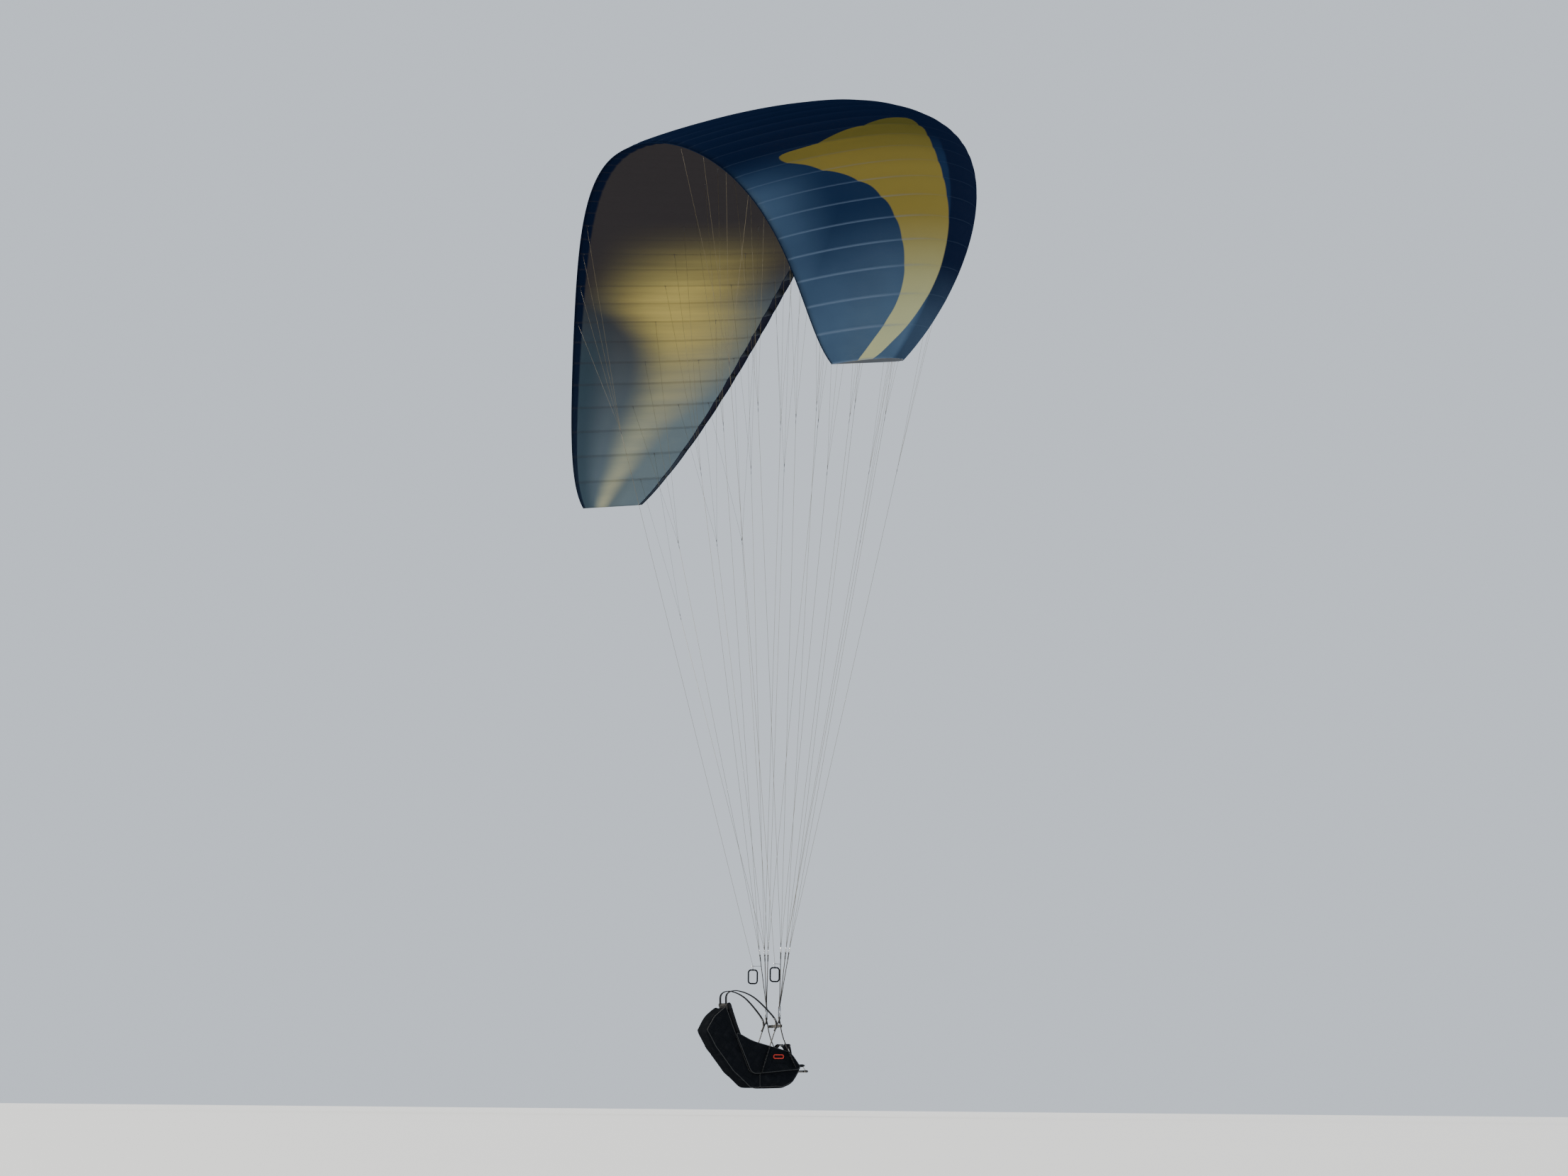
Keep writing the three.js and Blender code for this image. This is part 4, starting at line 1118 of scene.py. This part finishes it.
def addStitches(shape, start, end, count):
    for i in range(count):
        ends = [start.lerp(end, (i + stitch[at]) / count) for at in ("start", "end")]
        addTube(shape, ends, stitch["radius"], sides=4)


def addBartack(shape, place, width, length, out):  # a sewn block: rows of thread across a webbing
    for face in (-1, 1):
        for i in range(5):
            z = length * (i / 4 - 0.5)
            ends = [place @ Vector((x * width / 2, face * out, z)) for x in (-0.8, 0.8)]
            addStitches(shape, ends[0], ends[1], 5)
        for x in (-0.8, 0.8):
            ends = [place @ Vector((x * width / 2, face * out, z)) for z in (-length / 2, length / 2)]
            addStitches(shape, ends[0], ends[1], 8)


def makeRiser(sideName):
    sign = sideSigns[sideName]
    width = hanging["riserWidth"]
    thickness = hanging["riserThickness"]
    straps = bmesh.new()
    tacks = bmesh.new()
    size = hanging["maillon"]
    for row in rigging["rows"]:
        plan = rowPlan(row, sign)
        upward = plan["direction"]
        top = plan["link"] - upward * (size["height"] / 2 - size["rod"])
        place = frameAlong(top, upward)
        across = place.to_3x3() @ acrossX
        addBand(straps, loopAround(place, size["rod"], 0.055, thickness * 0.5), across, width)
        addBartack(tacks, place @ Matrix.Translation((0, 0, -0.038)), width, 0.024, thickness)
        foot = plan["foot"] + upward * 0.012
        middle = smoothPath([foot, foot.lerp(top, 0.5), top - upward * 0.030], 8)
        addBand(straps, middle, across, width)
        for x, y in ((1, 1), (-1, -1), (1, -1), (-1, 1)):
            shift = place.to_3x3() @ Vector((x * width * 0.4, y * thickness * 0.52, 0))
            seam = (foot + shift + upward * 0.05, top + shift - upward * 0.06)
            addStitches(tacks, *seam, stitch["perRiser"])
    foot = carabinerPoint(sign, 2 * carabinerBar)
    turned = Matrix.Translation(foot) @ Matrix.Rotation(math.pi, 4, "Y")
    addBand(straps, loopAround(turned, hanging["carabiner"]["rod"], 0.05, thickness), acrossX, width * 1.05)
    addBartack(tacks, Matrix.Translation(foot + Vector((0, 0, 0.034))), width, 0.022, thickness * 1.6)
    name, nodes = f"riserWebbing{sideName.title()}", [f"riser_{sideName}"]
    addPiece(straps, name, "webbing", "canopy", nodes, thickness * 0.9)
    addPiece(tacks, f"riserStitching{sideName.title()}", "thread", "canopy")


brakes = {
    # ring and two cheek plates: radius, height, rod radius, sides
    "pulleyRings": [(0.009, 0.0, 0.0026, 10), (0.0117, -0.0035, 0.0008, 6), (0.0117, 0.0035, 0.0008, 6)],
    "handleWidth": 0.092,
    "handleHeight": 0.130,
    "handleCorner": 0.024,
    "handleTube": 0.0065,
    "handleBelow": 0.026,
}


def makePulley(sideName):
    sign = sideSigns[sideName]
    plan = brakePlan(sign)
    eye, strapPoint = plan["eye"], plan["strapPoint"]
    metal = bmesh.new()
    for radius, z, rod, sides in brakes["pulleyRings"]:
        ring = [eye + Vector((x, y, z)) for x, y in circle(radius, 24)]
        addTube(metal, ring, rod, sides=sides, closed=True, side=upZ)
    addPiece(metal, f"pulleyRing{sideName.title()}", "steel", "canopy", [f"brake_pulley_{sideName}"])

    holder = (eye - strapPoint).normalized()
    tape = bmesh.new()
    points = straight(strapPoint + holder * 0.002, eye - holder * 0.0105, 4)
    addBand(tape, points, holder.cross(upZ).normalized(), 0.012)
    addPiece(tape, f"pulleyTape{sideName.title()}", "webbing", "canopy", thickness=0.003)


def makeHandle(sideName):
    sign = sideSigns[sideName]
    eye = brakePlan(sign)["eye"]
    top = eye - upZ * brakes["handleBelow"]
    centre = top - upZ * brakes["handleHeight"] / 2
    grip = bmesh.new()
    width, height = (brakes[key] - 2 * brakes["handleTube"] for key in ("handleWidth", "handleHeight"))
    path = roundedLoop(width, height, brakes["handleCorner"], steps=8)
    points = [centre + Vector((0, y, z)) for y, z in path]
    addTube(grip, points, brakes["handleTube"], sides=14, closed=True, side=acrossX)
    body = f"brake_handle_{sideName}"
    addPiece(grip, f"handleGrip{sideName.title()}", "padding", body, [body], merge=1e-6)

    sewn = bmesh.new()
    for aside in (-0.012, 0.012):  # the sewn cover's ends and the magnet's tab
        addTaperedBead(sewn, top + Vector((0, aside, -brakes["handleTube"])), alongY, 0.016, 0.0076)
    addTaperedBead(sewn, top + Vector((0, 0, 0.004)), upZ, 0.018, 0.0034)
    addPiece(sewn, f"handleKnot{sideName.title()}", "whipping", body)

    cord = bmesh.new()
    addTube(cord, straight(eye - upZ * 0.0005, top - upZ * 0.006, 8), rigging["mainRadius"], sides=6)
    piece = addPiece(cord, f"handleCord{sideName.title()}", "brakeLine")
    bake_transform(piece)
    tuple(eye)


for sideName in sideSigns:
    makeCarabiner(sideName)
    for row in rigging["rows"]:
        makeMaillon(row, sideName)
    makeRiser(sideName)
    makePulley(sideName)
    makeHandle(sideName)
print("risers and brakes made")

# Harness, measured from midway between the carabiners: x across, y back, z up
harness = {
    "seatFront": (-0.240, -0.402),
    "seatRear": (0.190, -0.450),
    "seatHalfWidth": 0.190,
    "boardThickness": 0.014,
    "backPath": [(0.214, -0.446), (0.280, -0.290), (0.370, -0.060), (0.432, 0.130)],
    "backWidth": 0.340,
    "backThickness": 0.034,
    # the two bags before they are blown up, drawn in a little but reaching into each other
    "container": [(-0.210, -0.416), (-0.136, -0.541), (-0.050, -0.585), (0.162, -0.594), (0.162, -0.465)],
    "protector": [(0.140, -0.466), (0.140, -0.595), (0.233, -0.597), (0.389, -0.461), (0.551, -0.252),
                  (0.628, -0.102), (0.555, 0.013), (0.450, 0.099), (0.387, -0.075), (0.305, -0.296),
                  (0.240, -0.457)],
    "underWidth": 0.370,
    "panel": [(-0.210, -0.432), (0.230, -0.480), (0.380, -0.120), (0.230, -0.200), (-0.110, -0.292)],
    # a strip of cloth closes the slit between each side panel and the back pad: its edge on each
    "gussetBack": [(0.204, -0.470), (0.280, -0.290), (0.343, -0.130)],
    "gussetPanel": [(0.222, -0.477), (0.297, -0.306), (0.360, -0.150)],
    "gussetBackAside": 0.152,
    "panelInside": 0.1903,
    "panelThickness": 0.005,
    "strapBranches": [[(-0.006, -0.035), (-0.040, -0.180), (-0.150, -0.422)],
                      [(0.008, -0.035), (0.060, -0.180), (0.150, -0.470)]],
    "strapAt": 0.2096,
    "strapWidth": 0.028,
    "strapThickness": 0.0035,
    "mainLock": {"width": 0.040, "height": 0.030, "rod": 0.0022, "corner": 0.005},
    "shoulderLock": {"width": 0.034, "height": 0.026, "rod": 0.002, "corner": 0.005},
    "shoulderRoute": [
        (0.213, 0.0418, -0.112), (0.213, 0.0238, -0.058), (0.196, 0.060, 0.020), (0.150, 0.210, 0.170),
        (0.112, 0.350, 0.226), (0.100, 0.432, 0.196), (0.098, 0.440, 0.100),
    ],
    "shoulderWidth": 0.044,
    "shoulderThickness": 0.0062,
    "overWebbing": 0.0018,
    "legRoute": [(0.186, -0.060, -0.330), (0.178, -0.070, -0.262), (0.112, -0.096, -0.222),
                 (0.046, -0.132, -0.270), (0.022, -0.160, -0.3995)],
    "legWidth": 0.040,
    "legThickness": 0.004,
    "speedBarAt": (-0.262, -0.452),
    "speedBarHalf": 0.165,
    "speedCordAside": 0.130,
    "speedCordTop": (-0.234, -0.4115),
    "chestAt": (-0.021, -0.070),
    # blocks of the buckles: place, size, bevel
    "chestBuckle": [(0, -0.0275, (0.040, 0.009, 0.040), 0.0025),
                    (-0.027, -0.0275, (0.020, 0.0075, 0.034), 0.002),
                    (0.027, -0.0275, (0.020, 0.0075, 0.034), 0.002),
                    (-0.0135, -0.0325, (0.007, 0.003, 0.022), 0.001),
                    (0.0135, -0.0325, (0.007, 0.003, 0.022), 0.001)],
    "legBuckle": [(0.080, -0.2335, (0.030, 0.046, 0.007), 0.002),
                  (0.0795, -0.2290, (0.012, 0.024, 0.004), 0.001)],
}
pads = {  # how each stuffed piece is blown up: voxel, pressure, most a point may move, fill
    "seatPad": (0.005, 2.0, 0.006, 0.5),
    "backPad": (0.006, 3.0, 0.010, 0.6),
    "reserveBag": (0.008, 4.0, 0.011, 0.7),
    "protectorBag": (0.010, 4.0, 0.012, 0.8),
}


def inHarness(x, y, z):
    return Vector((x, hanging["back"] + y, z - hanging["drop"]))


def addPrism(shape, outline, width, centreX=0.0):  # an outline in the YZ plane carried across
    corners = [shape.verts.new(inHarness(centreX - width / 2, y, z)) for y, z in outline]
    face = shape.faces.new(corners)
    made = bmesh.ops.extrude_face_region(shape, geom=[face])
    moved = [v for v in made["geom"] if isinstance(v, bmesh.types.BMVert)]
    bmesh.ops.translate(shape, verts=moved, vec=(width, 0, 0))
    bmesh.ops.recalc_face_normals(shape, faces=shape.faces)


def thickPath(path, thickness):  # the outline of a slab that follows a path in the YZ plane
    points = [Vector(p) for p in path]
    sides = ([], [])
    for i, at in enumerate(points):
        along = points[min(i + 1, len(points) - 1)] - points[max(i - 1, 0)]
        normal = Vector((-along.y, along.x)).normalized() * thickness / 2
        sides[0].append(tuple(at + normal))
        sides[1].append(tuple(at - normal))
    return sides[0] + sides[1][::-1]


def bakedMesh(piece):
    graph = bpy.context.evaluated_depsgraph_get()
    return bpy.data.meshes.new_from_object(piece.evaluated_get(graph))


def puff(piece, voxel, pressure, most):
    # remeshes a closed shape and blows it up as stuffed cloth, each point moving at most so far
    remesh = piece.modifiers.new("remesh", "REMESH")
    remesh.mode = "VOXEL"
    remesh.voxel_size = voxel
    piece.data = bakedMesh(piece)
    piece.modifiers.clear()
    rest = [v.co.copy() for v in piece.data.vertices]
    cloth = piece.modifiers.new("cloth", "CLOTH")
    cloth.settings.quality = 4
    cloth.settings.mass = 0.3
    cloth.settings.use_pressure = True
    cloth.settings.uniform_pressure_force = pressure
    cloth.settings.effector_weights.gravity = 0
    cloth.settings.tension_stiffness = 12
    cloth.settings.compression_stiffness = 6
    cloth.settings.bending_stiffness = 0.4
    scene = bpy.context.scene
    for i in range(1, 21):
        scene.frame_set(i)
    swollen = bakedMesh(piece)
    piece.modifiers.clear()
    piece.data = swollen
    for v, start in zip(piece.data.vertices, rest):
        way = v.co - start
        v.co = start + way * min(1, most / max(way.length, 1e-9))
    scene.frame_set(1)
    rounding = piece.modifiers.new("rounding", "SUBSURF")
    rounding.levels = 1
    rounding.render_levels = 1
    piece.data = bakedMesh(piece)
    piece.modifiers.clear()
    piece.data.shade_smooth()


def makePad(name, outline, width, finish, nodes, rounding=0.0):
    shape = bmesh.new()
    addPrism(shape, roundCorners(outline, rounding) if rounding else outline, width)
    piece = finishShape(shape, name, finish)
    voxel, pressure, most, fill = pads[name]
    puff(piece, voxel, pressure, most)
    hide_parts(*nodes)
    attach(piece, "harness")
    return piece


def roundCorners(outline, radius, steps=5):  # the outline with each corner turned into an arc
    points = [Vector(p) for p in outline]
    path = []
    for before, at, after in zip(points[-1:] + points[:-1], points, points[1:] + points[:1]):
        lengths = [(before - at).length, (after - at).length]
        reach = min(radius, *(length * 0.45 for length in lengths))
        start = at.lerp(before, reach / lengths[0])
        end = at.lerp(after, reach / lengths[1])
        for i in range(steps + 1):
            t = i / steps
            path.append(tuple(start.lerp(at, t).lerp(at.lerp(end, t), t)))
    return path


def inset(outline, amount):  # the outline drawn in toward its middle
    centre = mean([Vector(p) for p in outline])
    return [tuple(Vector(p) + (centre - Vector(p)).normalized() * amount) for p in outline]


seatOutline = thickPath([harness["seatFront"], harness["seatRear"]], harness["boardThickness"] * 0.9)
makePad("seatPad", seatOutline, 2 * harness["seatHalfWidth"] - 0.008, finishes["mesh"], ["seat_board"])
backOutline = thickPath(harness["backPath"], harness["backThickness"] - 0.012)
makePad("backPad", backOutline, harness["backWidth"] - 0.012, finishes["mesh"], ["back_pad"])
bagWidth = harness["underWidth"] - 0.016
bags = {
    "reserveBag": (harness["container"], finishes["pack"], "reserve_container"),
    "protectorBag": (harness["protector"], finishes["padding"], "protector"),
}
bagPieces = {name: makePad(name, outline, bagWidth, finish, [node], 0.02)
             for name, (outline, finish, node) in bags.items()}
print("padded pieces made")


def addToHarness(shape, name, finish, nodes=(), thickness=None, merge=0.0):
    return addPiece(shape, name, finish, "harness", nodes, thickness, merge)


def onSurface(piece, points, lift):  # the points laid on a piece, a little proud of it
    laid = []
    for point in points:
        at, normal = piece.closest_point_on_mesh(point)[1:3]
        laid.append(at + normal * lift)
    return laid


def makePiping():  # corded seams along the edges of the bags
    shape = bmesh.new()
    for name, (outline, *_) in bags.items():
        path = roundCorners(outline, 0.02)
        for x in (-bagWidth / 2, bagWidth / 2):
            corners = [inHarness(x, y, z) for y, z in path]
            points = []
            for a, b in zip(corners, corners[1:] + corners[:1]):
                points += straight(a, b, max(1, round((b - a).length / 0.02)))[:-1]
            seam = onSurface(bagPieces[name], points, 0.0012)
            addTube(shape, seam, 0.003, sides=8, closed=True, side=acrossX)
    addToHarness(shape, "bagPiping", "greyWebbing")


def makeSidePanel(sideName):
    sign = sideSigns[sideName]
    shape = bmesh.new()
    middle = sign * (harness["panelInside"] + harness["panelThickness"] / 2)
    outline = roundCorners(inset(harness["panel"], 0.002), 0.05)
    addPrism(shape, outline, harness["panelThickness"] * 0.8, middle)
    rims = [e for e in shape.edges if abs(e.verts[0].co.x - e.verts[1].co.x) < 1e-5]
    bmesh.ops.bevel(shape, geom=rims, offset=0.0018, segments=2, profile=0.5, affect="EDGES", material=-1)
    name, nodes = f"hipPanel{sideName.title()}", [f"side_panel_{sideName}"]
    panel = addToHarness(shape, name, "padding", nodes)

    binding = bmesh.new()
    loop = [inHarness(middle, y, z) for y, z in outline]
    addTube(binding, loop, 0.0034, sides=8, closed=True, side=acrossX)
    addToHarness(binding, f"hipBinding{sideName.title()}", "greyWebbing")

    gusset = bmesh.new()
    back = [inHarness(sign * harness["gussetBackAside"], y, z) for y, z in harness["gussetBack"]]
    front = [inHarness(sign * harness["panelInside"], y, z) for y, z in harness["gussetPanel"]]

    def place(across, along):
        return onPath(back, along)[0].lerp(onPath(front, along)[0], across)

    addSheet(gusset, 4, 14, place)
    strip = addToHarness(gusset, f"hipGusset{sideName.title()}", "pack", (), 0.002)
    size = ((front[1] - back[1]).length, (pathLength(back) + pathLength(front)) / 2)
    print(f"gusset of the {sideName} side panel: {size[0]:.3f} by {size[1]:.3f} m")


def makeMainStraps(sideName):
    sign = sideSigns[sideName]
    x = sign * harness["strapAt"]
    width, thickness = harness["strapWidth"], harness["strapThickness"]
    reach = hanging["carabiner"]["rod"] + thickness - 0.001
    shape = bmesh.new()
    sewn = bmesh.new()
    for branch in harness["strapBranches"]:
        points = smoothPath([inHarness(x, y, z) for y, z in [(0.0, -reach), *branch]], 7)
        addBand(shape, points, acrossX, width)
        for edge in (-0.4, 0.4):
            shift = Vector((edge * width, 0, 0))
            for out in (-1, 1):
                lift = Vector((0, out * thickness * 0.55, 0))
                for a, b in zip(points[4::4], points[8::4]):
                    addStitches(sewn, a + shift + lift, b + shift + lift, 6)
    bar = Matrix.Translation(inHarness(sign * hanging["halfSpan"], 0, 0))
    loop = loopAround(bar, hanging["carabiner"]["rod"], 0.050, thickness)
    addBand(shape, loop, acrossX, width)
    tack = Matrix.Translation(inHarness(x, 0.001, -0.042))
    addBartack(sewn, tack, width, 0.024, thickness * 1.2)
    name, nodes = f"mainWebbing{sideName.title()}", [f"main_strap_{sideName}"]
    addToHarness(shape, name, "webbing", nodes, thickness * 0.8)
    addToHarness(sewn, f"mainStitching{sideName.title()}", "thread")

    buckle = bmesh.new()  # a ladder lock on the front branch
    centre = inHarness(x, -0.082, -0.275)
    lean = Matrix.Rotation(math.radians(-23), 4, "X")
    place = Matrix.Translation(centre) @ lean
    addRing(buckle, place, harness["mainLock"], sides=8)
    addTube(buckle, [place @ Vector((x, 0, 0)) for x in (-0.018, 0.018)], 0.002, sides=8)
    addToHarness(buckle, f"ladderLock{sideName.title()}", "steel")


def liftedPath(points, across, lift):  # the path moved off itself, square to its way and to across
    lifted = []
    for i, at in enumerate(points):
        along = points[min(i + 1, len(points) - 1)] - points[max(i - 1, 0)]
        lifted.append(at - across.cross(along).normalized() * lift)
    return lifted


def makeShoulderStrap(sideName):
    sign = sideSigns[sideName]
    points = smoothPath([inHarness(sign * x, y, z) for x, y, z in harness["shoulderRoute"]], 8)
    shape = bmesh.new()
    addBand(shape, points, acrossX, harness["shoulderWidth"], columns=8)
    name, nodes = f"shoulderPad{sideName.title()}", [f"shoulder_strap_{sideName}"]
    pad = addToHarness(shape, name, "pack", nodes, harness["shoulderThickness"])
    over = bmesh.new()
    addBand(over, liftedPath(points, acrossX, 0.0042), acrossX, 0.020)
    addToHarness(over, f"shoulderWebbing{sideName.title()}", "webbing", (), harness["overWebbing"])
    edges = bmesh.new()
    for shift in (-harness["shoulderWidth"] / 2, harness["shoulderWidth"] / 2):
        addTube(edges, [p + acrossX * shift for p in points], 0.0034, sides=8, side=acrossX)
    addToHarness(edges, f"shoulderBinding{sideName.title()}", "greyWebbing")
    lock = bmesh.new()
    at = inHarness(sign * 0.205, 0.040, -0.018)
    place = Matrix.Translation(at) @ Matrix.Rotation(math.radians(-22), 4, "X")
    addRing(lock, place, harness["shoulderLock"], sides=8)
    addToHarness(lock, f"shoulderLock{sideName.title()}", "steel")


def makeLegStrap(sideName):
    sign = sideSigns[sideName]
    points = smoothPath([inHarness(sign * x, y, z) for x, y, z in harness["legRoute"]], 10)
    shape = bmesh.new()
    addBand(shape, points, alongY, harness["legWidth"], columns=6)
    name, nodes = f"legPad{sideName.title()}", [f"leg_strap_{sideName}"]
    pad = addToHarness(shape, name, "pack", nodes, harness["legThickness"])
    over = bmesh.new()
    addBand(over, liftedPath(points, alongY, sign * 0.0030), alongY, 0.024)
    addToHarness(over, f"legWebbing{sideName.title()}", "webbing", (), harness["overWebbing"])
    buckle = bmesh.new()
    lean = Matrix.Rotation(sign * math.radians(-28), 4, "Y")
    for x, z, size, bevel in harness["legBuckle"]:
        addBlock(buckle, inHarness(sign * x, -0.113, z), size, lean, bevel)
    addToHarness(buckle, f"legBuckle{sideName.title()}", "plastic")


def makeChest():
    half = hanging["halfSpan"] + 0.011
    shape = bmesh.new()
    ends = [inHarness(x, *harness["chestAt"]) for x in (-half, half)]
    addBand(shape, straight(ends[0], ends[1], 20), upZ, 0.025)
    addToHarness(shape, "chestWebbing", "webbing", ["chest_strap"], 0.0025)
    buckle = bmesh.new()
    for x, y, size, bevel in harness["chestBuckle"]:
        addBlock(buckle, inHarness(x, y, harness["chestAt"][1]), size, bevel=bevel)
    addToHarness(buckle, "chestBuckle", "plastic", ["chest_buckle"])
    keeper = bmesh.new()
    for x in (-0.105, 0.105):
        addBlock(keeper, inHarness(x, *harness["chestAt"]), (0.012, 0.0065, 0.031), bevel=0.0015)
    addToHarness(keeper, "chestKeepers", "plastic")


def makeReserveHandle():
    at = -(harness["panelInside"] + harness["panelThickness"] + 0.0053)
    path = roundedLoop(0.086, 0.030, 0.013, steps=6)
    points = [inHarness(at, y, z - 0.330) for y, z in path]
    shape = bmesh.new()
    addTube(shape, points, 0.005, sides=12, closed=True, side=acrossX)
    addToHarness(shape, "reservePull", "redWebbing", ["reserve_handle"], merge=1e-6)
    pocket = bmesh.new()
    addBlock(pocket, inHarness(at + 0.0022, 0.0, -0.368), (0.003, 0.110, 0.030), bevel=0.001)
    addToHarness(pocket, "reservePocket", "pack")


def makeSpeedBar():
    shape = bmesh.new()
    y, z = harness["speedBarAt"]
    half = harness["speedBarHalf"]
    addTube(shape, straight(inHarness(-half, y, z), inHarness(half, y, z), 6), 0.0085, sides=16)
    addToHarness(shape, "footBar", "alloy", ["speed_bar"])
    caps = bmesh.new()
    for side in (-1, 1):
        ends = [inHarness(side * (half - 0.016), y, z), inHarness(side * (half + 0.002), y, z)]
        addTube(caps, ends, 0.0098, sides=16)
    addTube(caps, straight(inHarness(-0.09, y, z), inHarness(0.09, y, z), 8), 0.0100, sides=16)
    addToHarness(caps, "footBarGrip", "plastic")
    cords = bmesh.new()
    for side in (-1, 1):
        x = side * harness["speedCordAside"]
        top = inHarness(x, *harness["speedCordTop"])
        addTube(cords, straight(inHarness(x, y, z), top, 4), 0.0025, sides=8)
        wrap = [inHarness(x + aside, y, z) for aside in (-0.003, 0.003)]
        addTube(cords, wrap, 0.0112, sides=16)
    addToHarness(cords, "footBarCords", "brakeLine")


for sideName in sideSigns:
    makeSidePanel(sideName)
    makeMainStraps(sideName)
    makeShoulderStrap(sideName)
    makeLegStrap(sideName)
makePiping()
makeChest()
makeReserveHandle()
makeSpeedBar()
print("harness made")

# Floor and light
studio = {
    "floorAt": -8.30,
    "floorSize": 400,
    "world": (0.74, 0.81, 0.90, 1),
    "worldStrength": 0.95,
    # name: where it shines from, as azimuth and elevation in degrees, strength, softness, tint
    "lamps": {
        "back": (62, 24, 5.5, 18, (1.0, 0.90, 0.74)),
        "front": (-128, 30, 0.5, 60, (0.86, 0.93, 1.0)),
        "above": (180, 75, 0.5, 60, (0.95, 0.97, 1.0)),
    },
}


def makeStudio():
    shape = bmesh.new()
    bmesh.ops.create_grid(shape, x_segments=1, y_segments=1, size=studio["floorSize"] / 2)
    bmesh.ops.translate(shape, verts=shape.verts, vec=(0, 0, studio["floorAt"]))
    finish = Finish("paleFloor", Roughness=0.85)
    grain = finish.noise(0.8, 4, finish.objectPlace())
    finish.set("Base Color", finish.mixed(grain * 0.3, (0.78, 0.78, 0.77, 1), (0.70, 0.70, 0.70, 1)))
    finishShape(shape, "floor", finish)
    world = bpy.context.scene.world or bpy.data.worlds.new("world")
    bpy.context.scene.world = world
    world.use_nodes = True
    background = world.node_tree.nodes["Background"]
    background.inputs["Color"].default_value = studio["world"]
    background.inputs["Strength"].default_value = studio["worldStrength"]
    for name, (azimuth, elevation, strength, softness, tint) in studio["lamps"].items():
        lamp = bpy.data.lights.new(name, "SUN")
        lamp.energy = strength
        lamp.angle = math.radians(softness)
        lamp.color = tint
        a, e = math.radians(azimuth), math.radians(elevation)
        source = Vector((math.sin(a) * math.cos(e), math.cos(a) * math.cos(e), math.sin(e)))
        holder = bpy.data.objects.new(name, lamp)
        holder.rotation_mode = "QUATERNION"
        holder.rotation_quaternion = (-source).to_track_quat("-Z", "Y")
        bpy.context.collection.objects.link(holder)


makeStudio()
print("studio made")
